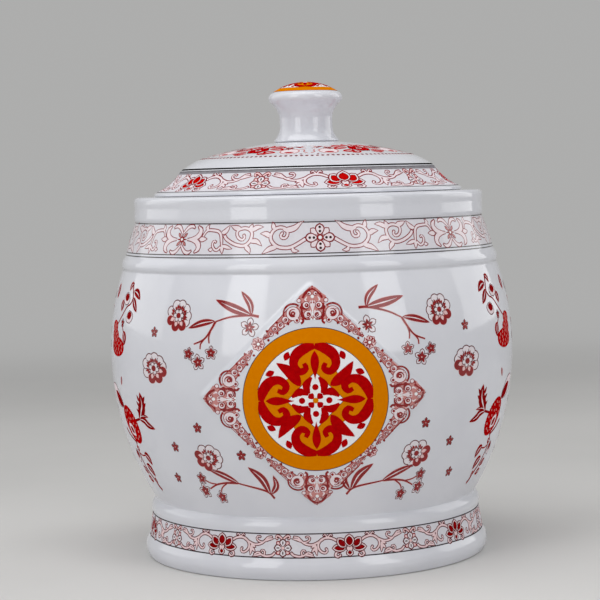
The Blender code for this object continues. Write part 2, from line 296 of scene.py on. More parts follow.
def pot_section():
    """The pot's wall, from the middle of its floor, up inside, over the rim and down to its underside."""
    inner_foot = float(barrel_radius(FOOT_TOP, WALL))
    inner_shoulder = float(barrel_radius(SHOULDER_Z, WALL))
    inner_belly = BELLY_RADIUS - WALL
    lip_z = RIM_Z - RIM_THICKNESS
    top = profile(
        (0.0, FLOOR_Z),
        (inner_foot - CAVITY_TAPER, FLOOR_Z, CAVITY_CORNER),
        (inner_foot, FOOT_TOP),
        -tangent_rise(inner_belly - inner_foot, BELLY_Z - FOOT_TOP),
        (inner_belly, BELLY_Z),
        -tangent_rise(inner_belly - inner_shoulder, SHOULDER_Z - BELLY_Z),
        (inner_shoulder, SHOULDER_Z),
        (NECK_TOP_RADIUS - WALL, lip_z - RIM_SLOPE, RIM_SLOPE),
        (MOUTH_RADIUS, lip_z, MOUTH_ROUND),
        (MOUTH_RADIUS, RIM_Z, MOUTH_ROUND),
        (COLLAR_RADIUS, RIM_Z, COLLAR_ROUND),
        (COLLAR_RADIUS, RIM_Z - COLLAR_COVE_MARGIN),
        -COLLAR_COVE_DEPTH,
        (COLLAR_RADIUS, NECK_TOP_Z + COLLAR_COVE_MARGIN),
        (COLLAR_RADIUS, NECK_TOP_Z + COLLAR_STEP),
        (NECK_TOP_RADIUS, NECK_TOP_Z),
        NECK_SWELL,
        (NECK_FOOT_RADIUS, NECK_FOOT_Z),
        SHOULDER_BEAD_SWELL,
        (SHOULDER_RADIUS, SHOULDER_Z),
    )
    heights = np.linspace(SHOULDER_Z, FOOT_TOP, BARREL_STEPS)[1:-1]
    barrel = [Vector((radius, z)) for radius, z in zip(barrel_radius(heights), heights)]
    foot = profile(
        (FOOT_TOP_RADIUS, FOOT_TOP),
        FOOT_RING_SWELL,
        (BAND_TOP_RADIUS, FOOT_BAND_TOP),
        (BAND_FOOT_RADIUS, FOOT_BEAD_TOP),
        FOOT_BEAD_SWELL,
        (FOOT_EDGE_RADIUS, FOOT_EDGE_Z),
        tangent_rise(FOOT_EDGE_RADIUS - STANDING_RADIUS, FOOT_EDGE_Z),
        (STANDING_RADIUS, 0.0),
        (STANDING_RADIUS - STANDING_WIDTH, 0.0),
        (STANDING_RADIUS - STANDING_WIDTH - FOOT_RECESS_SLOPE, FOOT_RECESS),
        (0.0, FOOT_RECESS),
    )
    return softened(top + barrel + foot, GLAZE_SOFTENING)


def inset(points, distance):
    """The points of a profile, each moved to the right of the way it runs."""
    moved = []
    for index, point in enumerate(points):
        along = points[min(index + 1, len(points) - 1)] - points[max(index - 1, 0)]
        moved.append(point + Vector((along.y, -along.x)).normalized() * distance)
    return moved


def lid_section():
    """The lid's wall: over the top, down to its edge, round the grooved flange and back underneath."""
    groove_floor = FLANGE_RADIUS - GROOVE_DEPTH
    flange_inner = FLANGE_RADIUS - FLANGE_THICKNESS
    top = profile(
        (0.0, KNOB_SEAT_Z),
        (KNOB_SEAT_RADIUS, KNOB_SEAT_Z),
        DOME_SWELL,
        (DOME_RADIUS, DOME_Z),
        MOULDING_SWELL,
        (LEDGE_RADIUS, LEDGE_Z),
    )
    rim = profile(
        (COVE_TOP_RADIUS, COVE_TOP_Z),
        -COVE_DEPTH,
        (COVE_FOOT_RADIUS, COVE_FOOT_Z),
        (LID_EDGE_RADIUS, LID_EDGE_Z),
        (LID_EDGE_RADIUS, FIT_GAP),
        (FLANGE_RADIUS, FIT_GAP),
        (FLANGE_RADIUS, GROOVE_TOP),
        (groove_floor, GROOVE_TOP),
        (groove_floor, GROOVE_FOOT),
        (FLANGE_RADIUS, GROOVE_FOOT),
        (FLANGE_RADIUS, -FLANGE_DEPTH, FLANGE_ROUND),
        (flange_inner, -FLANGE_DEPTH, FLANGE_ROUND),
        (flange_inner, COVE_FOOT_Z),
    )
    underside = inset(top, LID_WALL)[::-1]
    underside[-1].x = 0.0
    return softened(top + rim + underside, LID_SOFTENING) + (0.0, RIM_Z)


def seal_section():
    """The seal: a band in the groove with ribs that reach for the mouth's wall."""
    inner = FLANGE_RADIUS - GROOVE_DEPTH + FIT_GAP
    root = inner + SEAL_BODY
    tip = MOUTH_RADIUS - FIT_GAP
    top = GROOVE_TOP - FIT_GAP
    foot = GROOVE_FOOT + FIT_GAP
    pitch = (top - foot) / SEAL_RIBS
    corners = [(inner, top), (root, top)]
    for rib in range(SEAL_RIBS):
        middle = top - (rib + 0.5) * pitch
        corners.append((root, middle + SEAL_RIB_ROOT / 2))
        corners.append((tip, middle + SEAL_RIB_TIP / 2))
        corners.append((tip, middle - SEAL_RIB_TIP / 2))
        corners.append((root, middle - SEAL_RIB_ROOT / 2))
    corners += [(root, foot), (inner, foot)]
    return softened(corners, SEAL_SOFTENING, closed=True) + (0.0, RIM_Z)


def knob_section():
    """The knob's wall: over its crown, down its waist to the foot, and up inside its hollow."""
    hollow_radius = KNOB_NECK_RADIUS - KNOB_WALL
    hollow_top = KNOB_HEAD_TOP - KNOB_WALL
    wall = profile(
        (0.0, KNOB_CROWN),
        tangent_rise(KNOB_CROWN - KNOB_HEAD_TOP, KNOB_HEAD_RADIUS),
        (KNOB_HEAD_RADIUS, KNOB_HEAD_TOP),
        KNOB_HEAD_SWELL,
        (KNOB_HEAD_RADIUS, KNOB_HEAD_FOOT),
        -KNOB_FLARE_COVE,
        (KNOB_NECK_RADIUS, KNOB_NECK_TOP),
        (KNOB_NECK_RADIUS, KNOB_NECK_FOOT),
        -KNOB_FOOT_COVE,
        (KNOB_FOOT_RADIUS, KNOB_FOOT_EDGE),
        (KNOB_FOOT_RADIUS, 0.0),
        (hollow_radius, 0.0),
        (hollow_radius, hollow_top, KNOB_HOLLOW_ROUND),
        (0.0, hollow_top),
    )
    return softened(wall, GLAZE_SOFTENING) + (0.0, RIM_Z + KNOB_SEAT_Z + FIT_GAP)


# Turned meshes


def new_object(name, points, faces, materials):
    mesh = bpy.data.meshes.new(name)
    mesh.from_pydata(points, [], faces)
    for material in materials:
        mesh.materials.append(material)
    mesh.shade_smooth()
    obj = bpy.data.objects.new(name, mesh)
    bpy.context.scene.collection.objects.link(obj)
    return obj


def turned_points(radii, heights, turns):
    """Points, in metres, at a radius and a height, turned from the front round to +X."""
    return MM * np.stack([radii * np.sin(turns), -radii * np.cos(turns), heights], axis=-1)


def turned(name, radii, heights, turns, materials, closed=False, cut=None):
    """A mesh turned about Z. radii, heights and turns hold a value for each row and column.

    Where cut isn't 0, its sign says along which diagonal the square below and beside is cut.
    """
    count, columns = turns.shape
    points = turned_points(radii, heights, turns)
    index = np.arange(count * columns).reshape(count, columns)
    for row in (0, count - 1):
        if not closed and radii[row].max() < TINY:
            index[row] = index[row, 0]
    faces = []
    last = count if closed else count - 1
    for row in range(last):
        below = (row + 1) % count
        for column in range(columns):
            right = (column + 1) % columns
            corners = [index[row, column], index[below, column], index[below, right], index[row, right]]
            corners = list(dict.fromkeys(int(corner) for corner in corners))
            lean = cut[row, column] if cut is not None else 0
            if lean > 0:
                faces += [corners[:3], [corners[2], corners[3], corners[0]]]
            elif lean < 0:
                faces += [corners[1:], [corners[3], corners[0], corners[1]]]
            else:
                faces.append(corners)
    used, compact = np.unique(np.concatenate(faces), return_inverse=True)
    starts = np.cumsum([0] + [len(face) for face in faces])
    faces = [compact[a:b].tolist() for a, b in zip(starts, starts[1:])]
    return new_object(name, points.reshape(-1, 3)[used].tolist(), faces, materials)


def evenly_turned(name, section, step, columns, materials, closed=False):
    """A section turned about Z, with even columns all round."""
    rows = thinned(section, step)
    if closed:
        rows = rows[:-1]
    turns = np.tile(np.arange(columns) * math.tau / columns, (len(rows), 1))
    radii = np.tile(rows[:, :1], (1, columns))
    heights = np.tile(rows[:, 1:], (1, columns))
    return turned(name, radii, heights, turns, materials, closed=closed)


def relief(across, height):
    """How far the diamond stands off the barrel there. Its skirt slopes and its corners are rounded."""
    along = np.sqrt(across**2 + DIAMOND_CORNER**2)
    up = np.sqrt((height - DIAMOND_Z) ** 2 + DIAMOND_CORNER**2)
    depth = (DIAMOND_HALF + DIAMOND_CORNER - along - up) / math.sqrt(2)
    rise = np.clip(depth / DIAMOND_SKIRT, 0.0, 1.0)
    return DIAMOND_RELIEF * rise * rise * (3 - 2 * rise)


def pot_rows(section):
    """The pot's rows: the section's own, but an even grid over the height of the diamond."""
    grid = DIAMOND_Z + DIAMOND_CELL * np.arange(DIAMOND_CELLS, -DIAMOND_CELLS - 1, -1)
    rim = int(np.argmax(section[:, 1]))
    outer = np.arange(len(section)) > rim
    top = outer & (section[:, 1] <= grid[0])
    foot = outer & (section[:, 1] < grid[-1])
    inside = thinned(section[: rim + 1], INNER_ROW)
    neck = thinned(section[rim : int(np.argmax(top))], OUTER_ROW)[1:]
    foot_rows = thinned(section[int(np.argmax(foot)) :], OUTER_ROW)
    barrel = np.column_stack([barrel_radius(grid), grid])
    return np.concatenate([inside, neck, barrel, foot_rows])


def make_pot(section, materials):
    """The pot. A square grid on its front carries the diamond. The second material is for its bare foot."""
    rows = pot_rows(section)
    across = DIAMOND_CELL * np.arange(-DIAMOND_CELLS, DIAMOND_CELLS + 1)
    radii, heights = rows.T
    outside = (radii > FRONT_RADIUS) & (heights > FOOT_TOP) & (heights < SHOULDER_Z)
    rim = int(np.argmax(heights))
    outside &= np.arange(len(rows)) > rim
    raised = np.where(outside[:, None], relief(across[None, :], heights[:, None]), 0.0)
    front_radii = radii[:, None] + raised
    front = np.arcsin(across[None, :] / np.maximum(front_radii, FRONT_RADIUS))
    share = np.arange(1, BACK_COLUMNS + 1) / (BACK_COLUMNS + 1)
    back = front[:, -1:] + share[None, :] * (math.tau - 2 * front[:, -1:])
    turns = np.concatenate([front, back], axis=1)
    all_radii = np.concatenate([front_radii, np.tile(radii[:, None], (1, BACK_COLUMNS))], axis=1)
    all_heights = np.tile(heights[:, None], (1, turns.shape[1]))
    cut = np.zeros(turns.shape, int)
    right = np.sign(across[:-1] + DIAMOND_CELL / 2)
    above = np.sign(heights - DIAMOND_Z - DIAMOND_CELL / 2)
    lean = right[None, :] * above[:, None]
    cut[:, : len(across) - 1] = np.where(outside[:, None], lean, 0)
    pot = turned("pot_glaze", all_radii, all_heights, turns, materials, cut=cut)
    for face in pot.data.polygons:
        face.material_index = int(face.center.z < BARE_FOOT_Z * MM)
    return pot


# Materials

TONE_RANGE = (0.35, 0.65)
GLOSS_RANGE = (0.3, 0.7)


def srgb(code):
    """Linear colour of an sRGB hex code."""
    channels = [(code >> shift & 255) / 255 for shift in (16, 8, 0)]
    return tuple(c / 12.92 if c <= 0.04045 else ((c + 0.055) / 1.055) ** 2.4 for c in channels)


def node_with(tree, kind, values):
    """A new node with the given values in its inputs."""
    node = tree.nodes.new(kind)
    for name, value in values.items():
        node.inputs[name].default_value = value
    return node


def fired(name, codes, drift, roughness, ripple, ripple_depth):
    """A fired surface: two tones drift into each other, and the gloss varies and ripples a little.

    codes are the two tones in sRGB. drift and ripple are the sizes of the patterns, in millimetres.
    """
    material = bpy.data.materials.new(name)
    material.use_nodes = True
    tree = material.node_tree
    link = tree.links.new
    shader = tree.nodes["Principled BSDF"]
    place = tree.nodes.new("ShaderNodeTexCoord").outputs["Object"]
    tone = node_with(tree, "ShaderNodeTexNoise", {"Scale": 1 / (drift * MM), "Detail": 4.0})
    blend = tree.nodes.new("ShaderNodeValToRGB")
    for element, position, code in zip(blend.color_ramp.elements, TONE_RANGE, codes):
        element.position = position
        element.color = (*srgb(code), 1.0)
    link(place, tone.inputs["Vector"])
    link(tone.outputs["Fac"], blend.inputs["Fac"])
    link(blend.outputs["Color"], shader.inputs["Base Color"])
    limits = dict(zip(("From Min", "From Max", "To Min", "To Max"), GLOSS_RANGE + roughness))
    gloss = node_with(tree, "ShaderNodeMapRange", limits)
    link(tone.outputs["Fac"], gloss.inputs["Value"])
    link(gloss.outputs["Result"], shader.inputs["Roughness"])
    waves = node_with(tree, "ShaderNodeTexNoise", {"Scale": 1 / (ripple * MM), "Detail": 2.0})
    bump = node_with(tree, "ShaderNodeBump", {"Strength": 1.0, "Distance": ripple_depth * MM})
    link(place, waves.inputs["Vector"])
    link(waves.outputs["Fac"], bump.inputs["Height"])
    link(bump.outputs["Normal"], shader.inputs["Normal"])
    return material


def glaze(name):
    return fired(name, (0xD8D9E0, 0xDEDFE5), drift=45, roughness=(0.06, 0.11), ripple=14, ripple_depth=0.05)


def bisque(name):
    return fired(name, (0xC9C0B2, 0xDAD3C8), drift=3, roughness=(0.75, 0.9), ripple=0.8, ripple_depth=0.06)


def rubber(name):
    return fired(name, (0xD3D5D2, 0xDFE0DD), drift=12, roughness=(0.45, 0.6), ripple=0.6, ripple_depth=0.02)


ENAMELS = {
    "ground": (0xDAD7DD, 0xDEDBE1),
    "pink": (0xE6BEBE, 0xEAC8C8),
    "blush": (0xE8CBCD, 0xECD3D5),
    "pale": (0xE8D8DC, 0xECDFE3),
    "petal": (0xE2DADF, 0xE6DFE3),
    "white": (0xEDEDEF, 0xF3F3F4),
    "line": (0x3E383A, 0x4C4446),
    "vine": (0x5A1C22, 0x6A262A),
    "wine": (0x7A141E, 0x881E28),
    "rose": (0xC27C78, 0xCC8884),
    "red": (0x80080C, 0x960E12),
    "bright": (0xB80606, 0xCC0A08),
    "crimson": (0xA80206, 0xBA0408),
    "dark": (0x2C1012, 0x3A181A),
    "gold": (0xDA7C00, 0xDD8000),
    # grey is laid only round the lid, in the crease under its moulding.
    "grey": (0x868288, 0x929094),
}
GLOSSY = 0.45
DULL = 0.0


def enamels(kind, specular):
    """The whole palette as fired materials, by colour. The higher the specular level, the glossier."""
    paints = {}
    for colour, codes in ENAMELS.items():
        name = colour + "_" + kind
        material = fired(name, codes, drift=2.5, roughness=(0.08, 0.14), ripple=2.0, ripple_depth=0.006)
        material.node_tree.nodes["Principled BSDF"].inputs["Specular IOR Level"].default_value = specular
        paints[colour] = material
    return paints


# Strokes


def smooth(*points, step=STROKE_STEP):
    """Even points along a smooth curve through the given ones."""
    if len(points) == 2:
        curve = np.array(points)
    else:
        knots = [2 * points[0] - points[1], *points, 2 * points[-1] - points[-2]]
        t = np.linspace(0.0, 1.0, CURVE_STEPS, endpoint=False)
        stretches = []
        for a, b, c, d in zip(knots, knots[1:], knots[2:], knots[3:]):
            squared = a - 2.5 * b + 2 * c - 0.5 * d
            cubed = 1.5 * (b - c) + 0.5 * (d - a)
            stretches.append(b + 0.5 * t * (c - a) + t**2 * squared + t**3 * cubed)
        curve = np.concatenate([*stretches, [points[-1]]])
    along = lengths(curve)
    even = np.linspace(0.0, along[-1], max(4, math.ceil(along[-1] / step) + 1))
    return np.interp(even, along, curve)


def way(path):
    """How far along the path each point lies, from 0 to 1."""
    along = lengths(path)
    return along / along[-1]


def stroke(colour, coat, path, *widths):
    """A stroke whose width runs evenly through the given ones."""
    shares = np.linspace(0.0, 1.0, len(widths))
    return [(colour, coat, path, np.interp(way(path), shares, widths))]


def leaf(colour, coat, path, width, peak=0.5, blunt=0.8):
    """A leaf or petal along the path, widest at its peak. The less blunt it is, the rounder its ends."""
    bulge = np.sin(math.pi * way(path) ** (math.log(0.5) / math.log(peak)))
    return [(colour, coat, path, width * np.clip(bulge, 0.0, 1.0) ** blunt)]


def trimmed(path, start, end):
    """The path without a length at each of its ends, or made longer where a length is below zero."""
    first = path[:1] + (path[:1] - path[1:2]) / abs(path[1] - path[0]) * max(-start, 0.0)
    last = path[-1:] + (path[-1:] - path[-2:-1]) / abs(path[-1] - path[-2]) * max(-end, 0.0)
    path = np.concatenate([first, path[1:-1], last])
    along = lengths(path)
    even = np.linspace(max(start, 0.0), along[-1] - max(end, 0.0), len(path))
    return np.interp(even, along, path)


def rimmed_leaf(rim, fill, coat, path, width, edge, peak, blunt):
    """A leaf with a rim of another colour, as wide as the edge."""
    inner = trimmed(path, edge, 1.3 * edge)
    art = leaf(rim, coat, path, width, peak, blunt)
    return art + leaf(fill, coat + 1, inner, width - 2 * edge, peak, blunt)


def strokes(colour, coat, *rows):
    """Strokes of one colour, each given as its widths and the points along it."""
    return [part for widths, *points in rows for part in stroke(colour, coat, smooth(*points), *widths)]


def vines(fill, *rows):
    """Tendrils, each given as its width and the points along it: dark, paler inside, thinner at the tip."""
    art = []
    for width, *points in rows:
        path = smooth(*points)
        widths = (width, width, VINE_TIP * width)
        outer = [inner + 2 * OUTLINE for inner in widths]
        art += stroke("vine", 0, trimmed(path, -OUTLINE, -OUTLINE), *outer)
        art += disc("vine", 0, path[-1], outer[-1] / 2)
        art += stroke(fill, 1, path, *widths) + disc(fill, 1, path[-1], widths[-1] / 2)
    return art


def tendril_leaves(fill, *rows):
    """Pointed leaves that grow out of tendrils, each given as its width and the points along it."""
    art = []
    for width, *points in rows:
        path = smooth(*points)
        art += leaf("vine", 0, trimmed(path, -0.4, -0.8), width + 2 * OUTLINE, 0.38)
        art += leaf(fill, 1, path, width, 0.38)
    return art


def fleshy(fill, path, *widths):
    """An outlined stroke whose width runs evenly through the given ones."""
    outer = [width + 2 * OUTLINE for width in widths]
    return stroke("vine", 0, path, *outer) + stroke(fill, 1, trimmed(path, 0.0, OUTLINE), *widths)


def ring(colour, coat, centre, radius, width):
    count = max(12, math.ceil(math.tau * radius / STROKE_STEP))
    turn = np.exp(1j * np.linspace(0.0, math.tau, count + 1))
    turn[-1] = turn[0]
    return stroke(colour, coat, centre + radius * turn, width)


def disc(colour, coat, centre, radius):
    """A filled circle, drawn as one stroke along its diameter."""
    count = max(8, math.ceil(math.pi * radius / STROKE_STEP))
    turn = np.linspace(0.0, math.pi, count + 1)
    return [(colour, coat, centre - radius * np.cos(turn) + 0j, 2 * radius * np.sin(turn))]


def rimmed_disc(rim, fill, coat, centre, radius, edge):
    return disc(rim, coat, centre, radius) + disc(fill, coat + 1, centre, radius - edge)


def spiral(centre, start, end, first_radius, last_radius):
    """A path that winds from one turn to another, both in degrees, as its radius changes."""
    length = abs(math.radians(end - start)) * (first_radius + last_radius) / 2
    count = max(8, math.ceil(length / (0.7 * STROKE_STEP)))
    turn = np.radians(np.linspace(start, end, count + 1))
    return centre + np.linspace(first_radius, last_radius, count + 1) * np.exp(1j * turn)


def changed(art, change, scale=1.0):
    """The drawing with its paths changed and its widths scaled."""
    return [(colour, coat, change(path), widths * scale) for colour, coat, path, widths in art]


def mirrored(art):
    return changed(art, lambda path: -np.conj(path))


def upside_down(art):
    return changed(art, np.conj)


def moved(art, by):
    return changed(art, lambda path: path + by)


def spun(art, degrees):
    return changed(art, lambda path: path * cmath.rect(1.0, math.radians(degrees)))


def stretched(art, across, up):
    return changed(art, lambda path: path.real * across + 1j * path.imag * up, math.sqrt(across * up))


def four_times(art):
    """The drawing, and the same turned by one, two and three quarters."""
    return [part for quarter in range(4) for part in spun(art, 90 * quarter)]


def raised(art, coats):
    return [(colour, coat + coats, path, widths) for colour, coat, path, widths in art]


def tinted(art, old, new):
    """The drawing with one of its colours changed for another."""
    return [(new if colour == old else colour, coat, path, widths) for colour, coat, path, widths in art]


def both_sides(art):
    return art + mirrored(art)


# Surfaces that carry decoration


class Face:
    """The stretch of a section between two heights, looked up by height, by radius or by the way along it."""

    def __init__(self, section, lowest, highest, key):
        run = section[(section[:, 1] >= lowest) & (section[:, 1] <= highest)]
        along = lengths(run @ (1, 1j))
        keys = {"height": run[:, 1], "radius": run[:, 0], "along": along[-1] - along}[key]
        order = np.argsort(keys)
        self.keys = keys[order]
        self.radii = run[order, 0]
        self.heights = run[order, 1]

    def wrapped(self, turn, radius):
        """Places a flat drawing round the face, its middle at a turn and its lengths true at a radius."""

        def place(flat):
            turns = turn + flat.real / radius
            radii = np.interp(flat.imag, self.keys, self.radii)
            return turned_points(radii, np.interp(flat.imag, self.keys, self.heights), turns)

        return place

    def topped(self):
        """Places a flat drawing on a face that is seen from above."""

        def place(flat):
            heights = np.interp(abs(flat), self.keys, self.heights)
            return MM * np.stack([flat.real, flat.imag, heights], axis=-1)

        return place


def on_diamond(flat):
    """Places a flat drawing on the diamond, straight behind its place in the front view."""
    flat = flat + PRINT_MIDDLE
    radii = barrel_radius(flat.imag) + relief(flat.real, flat.imag)
    depths = -np.sqrt(radii**2 - flat.real**2)
    return MM * np.stack([flat.real, depths, flat.imag], axis=-1)


def ribbon(place, coat, path, widths, first):
    """Points, normals and faces of one stroke: a thin closed slab that follows the surface."""
    closed = abs(path[0] - path[-1]) < TINY
    if closed:
        path = path[:-1]
        widths = widths[:-1]
        ahead = np.roll(path, -1) - np.roll(path, 1)
    else:
        ahead = np.gradient(path)
    sideways = 1j * ahead / np.maximum(abs(ahead), TINY)
    columns = math.ceil(widths.max() / STROKE_COLUMN)
    shares = np.linspace(-0.5, 0.5, columns + 1)
    reach = sideways * np.maximum(widths, HAIRLINE)
    flat = path[:, None] + reach[:, None] * shares[None, :]
    points = place(flat)
    across = place(flat + TANGENT_REACH) - place(flat - TANGENT_REACH)
    up = place(flat + TANGENT_REACH * 1j) - place(flat - TANGENT_REACH * 1j)
    normals = np.cross(across, up)
    normals /= np.linalg.norm(normals, axis=-1, keepdims=True)
    top = points + normals * MM * (FIRST_COAT + NEXT_COAT * coat)
    root = points + normals * MM * COAT_ROOT
    count = len(path)
    index = first + np.arange(2 * count * (columns + 1)).reshape(2, count, columns + 1)
    if closed:
        index = np.concatenate([index, index[:, :1]], axis=1)
    above, under = index
    upper = [above[:-1, :-1], above[1:, :-1], above[1:, 1:], above[:-1, 1:]]
    lower = [under[:-1, 1:], under[1:, 1:], under[1:, :-1], under[:-1, :-1]]
    right = [under[:-1, 0], under[1:, 0], above[1:, 0], above[:-1, 0]]
    left = [above[:-1, -1], above[1:, -1], under[1:, -1], under[:-1, -1]]
    sides = [upper, lower, right, left]
    if not closed:
        sides.append([under[0, :-1], above[0, :-1], above[0, 1:], under[0, 1:]])
        sides.append([above[-1, :-1], under[-1, :-1], under[-1, 1:], above[-1, 1:]])
    faces = np.concatenate([np.stack([c.ravel() for c in side], axis=1) for side in sides])
    slab = np.concatenate([top.reshape(-1, 3), root.reshape(-1, 3)])
    return slab, np.tile(normals.reshape(-1, 3), (2, 1)), faces


def fire_on(region, body, placed, paints):
    """Makes a region's decoration, one piece for each colour. placed pairs each drawing with its place."""
    gathered = {}
    for place, art in placed:
        for colour, coat, path, widths in art:
            points, normals, faces = gathered.setdefault(colour, ([], [], []))
            first = sum(len(batch) for batch in points)
            made = ribbon(place, coat, path, widths, first)
            for kept, batch in zip((points, normals, faces), made):
                kept.append(batch)
    for colour, kept in gathered.items():
        points, normals, faces = (np.concatenate(batches).tolist() for batches in kept)
        piece = new_object(region + "_" + colour, points, faces, [paints[colour]])
        piece.data.normals_split_custom_set_from_vertices(normals)
        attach(piece, body)


# Bands of the neck, the foot and the lid

NECK_BAND_Z = 221.8
NECK_BAND_RADIUS = 124.0
NECK_LINES = (
    ("line", 1, 210.0, 0.7),
    ("line", 1, 211.9, 0.7),
    ("line", 1, 231.7, 0.8),
    ("ground", 0, NECK_BAND_Z, 20.0),
)
NECK_FLOWER_TURN = math.radians(3.3)
NECK_REPEATS = 4
NECK_HALF_REPEAT = 97.4
FOOT_BAND_RADIUS = 115.5
FOOT_HALF_REPEAT = 43.6
FOOT_LINES = (("line", 1, 14.9, 0.8), ("line", 1, 30.1, 0.8), ("ground", 0, 22.5, 15.0))
FOOT_SPANS = (43.0,) * 4 + (47.0,) * 4
FOOT_FIRST_TURN = -75.4
# The grey line at the cove's top runs round the lid in the crease under its moulding.
COVE_LINES = (("line", 1, 0.9, 0.8), ("grey", 1, 21.4, 2.6), ("ground", 0, 11.6, 21.0))
COVE_ART_FOOT = 1.6
COVE_SPANS = (66.8,) * 3 + (79.8,) * 2
COVE_FIRST_TURN = -119.0
COVE_RADIUS = 96.5
COVE_STRETCH = 1.2
COVE_PLUMPNESS = 1.3
# The ledge's grey line runs round the lid in the same crease, under the moulding.
LEDGE_LINES = (("grey", 0, 87.5, 2.2),)


def neck_flower():
    """A flower of four long petals, with two dark seeds in each and a small petal between each two."""
    art = []
    for quarter in range(4):
        turn = 1j**quarter
        reach = 9.2 if quarter % 2 else 9.8
        corner = turn * cmath.rect(1.0, math.pi / 4)
        art += rimmed_leaf("vine", "pale", 0, smooth(2.0 * corner, 8.6 * corner), 4.4, 0.55, 0.62, 0.7)
        art += rimmed_leaf("wine", "pale", 2, smooth(1.2 * turn, reach * turn), 6.4, 0.78, 0.58, 0.6)
        art += disc("dark", 4, 4.0 * turn, 0.85) + disc("dark", 4, 6.6 * turn, 0.85)
    return art + rimmed_disc("red", "petal", 5, 0j, 2.3, 1.1) + disc("white", 7, 0j, 0.7)


def neck_scroll():
    """One half of the neck's scrollwork, from the flower to the star."""
    first = (
        9.2 - 0.6j, 14.4 - 3.7j, 18.3 - 5.6j, 22 - 6.1j, 27 - 5.2j, 30.8 - 1.9j, 31.6 + 1.8j, 29.6 + 5.3j,
        25.8 + 6.9j, 22 + 5.9j, 20.7 + 3.1j, 21.8 + 0.4j, 24 + 0.1j, 25.3 + 1.7j, 24.2 + 3.2j,
    )
    second = (
        63.4 + 2.3j, 61.5 + 0j, 55.6 - 3.2j, 49.3 - 4.3j, 45.3 - 1.5j, 44.2 + 3.5j, 46.5 + 6.1j, 50 + 6.8j,
        54 + 5.5j, 54.5 + 3j, 53 + 0.5j, 50.5 - 0.5j, 49 + 0.8j, 49.6 + 2.3j,
    )
    arch = (65 - 1.5j, 66 + 2.5j, 68 + 4.8j, 71.2 + 5.6j, 77 + 5.6j, 79.6 + 2.3j)
    curl = (65.3 - 4.8j, 68 - 7j, 70.5 - 5.5j, 71.5 - 3j, 70.5 - 1j, 69.3 - 1.7j)
    art = vines("pale", (1.7, *first), (1.6, *second), (1.4, *arch), (1.2, *curl))
    art += vines("pale", (1.3, 66 + 2.5j, 65 - 1.5j, 64.6 - 4j))
    return art + tendril_leaves(
        "pale",
        (3.2, 24 + 5.5j, 20 + 5.3j, 16 + 6.5j, 13 + 9j, 10.6 + 10.4j),
        (2.0, 17.7 - 5.9j, 16.8 - 7.9j, 14 - 8.2j),
        (2.4, 29.5 + 5.5j, 30.6 + 10j),
        (2.8, 31.6 + 1j, 34.5 + 3j, 38 + 3.2j),
        (2.8, 27 - 5.2j, 32 - 6.5j, 36.5 - 9.3j),
        (2.8, 52 + 6.5j, 55.5 + 7j, 59 + 8.3j),
        (2.4, 45.8 + 5.5j, 44.3 + 9j),
        (2.6, 45 + 5j, 41 + 7.2j, 37.2 + 7.4j),
        (2.6, 45.5 - 1.5j, 41 - 1.5j, 37.6 - 4.2j),
        (2.6, 48.5 - 4.3j, 46 - 6.5j, 44.9 - 8.9j),
        (2.6, 66 + 4j, 63 + 5j, 60.5 + 8.4j),
        (2.0, 64.5 - 4j, 61 - 5j, 57.5 - 6j),
        (2.2, 64.6 - 4j, 63.8 - 8.8j),
        (2.0, 71 - 6.5j, 73.8 - 6.6j),
        (2.2, 76 + 5.6j, 77.5 + 7.5j, 76.2 + 9j),
    )


def neck_star():
    """A star of four dark petals round a red eye, with a tulip on each side of it, above and below."""
    art = []
    for petal in range(4):
        turn = cmath.rect(1.0, (petal + 0.5) * math.pi / 2)
        art += leaf("vine", 3, smooth(0.6 * turn, 6.0 * turn), 2.1, 0.6)
        art += leaf("rose", 4, smooth(2 * turn, 5.3 * turn), 1.0)
        art += leaf("red", 3, smooth(0.6 * 1j**petal, 4.4 * 1j**petal), 1.1, 0.35)
    art += disc("red", 5, 0j, 1.9) + disc("white", 6, 0j, 0.9)
    arch = smooth(4.8 + 0j, 8 + 0.3j, 12.4 + 1.2j, 15 + 3.8j, 14.8 + 6.4j, 12 + 8.6j)
    arm = fleshy("pale", arch, 0.8, 1.3, 2.6, 3.2, 2.6, 0.4)
    side = tendril_leaves("pale", (2.8, 15 + 0j, 20.7 + 0.2j)) + arm + upside_down(arm)
    horn = smooth(0.3 + 3.6j, 1.6 + 5.4j, 4.2 + 7.9j, 7.2 + 8.6j, 10 + 7j)
    end = both_sides(fleshy("pale", horn, 0.8, 1.5, 1.9, 1.9, 0.4))
    return art + both_sides(side) + end + upside_down(end)


def neck_art():
    """One repeat of the neck's band, with the flower in its middle and half a star's reach at each end."""
    return neck_flower() + both_sides(neck_scroll()) + moved(neck_star(), NECK_HALF_REPEAT)


def lotus(bloom, fill, plump):
    """The band's lotus: solid petals over each other, each with a dark edge, a pale halo and an outline."""
    petals = (
        (2.8, 4.7j, 1.8j),
        (3.3, 3.2 + 5.6j, 6.6 + 6.4j, 10.2 + 6.4j),
        (3.7, 3.0 + 7.2j, 5.0 + 9.4j, 7.0 + 11.8j),
        (4.6, 7.6j, 13.8j),
    )
    art = rimmed_disc("vine", fill, 0, 5.9j, 2.4, OUTLINE)
    for layer, (width, *points) in enumerate(petals):
        path = smooth(*points)
        width *= plump
        petal = leaf("vine", 0, trimmed(path, -1.0, -1.5), width + 2.7, 0.5, 0.65)
        petal += leaf(fill, 1, trimmed(path, -0.5, -0.9), width + 1.4, 0.5, 0.65)
        petal += leaf("dark", 2, path, width, 0.5, 0.65)
        petal += leaf(bloom, 3, trimmed(path, 0.25, 0.4), width - 0.5, 0.5, 0.65)
        petal = raised(petal, 4 * layer)
        art += petal if points[0].real == 0 else both_sides(petal)
    hook = vines(fill, (1.2, 6.2 + 4.2j, 8.6 + 3.6j, 9.4 + 1.6j, 7.4 + 0.6j, 6.2 + 1.8j))
    return art + both_sides(hook)


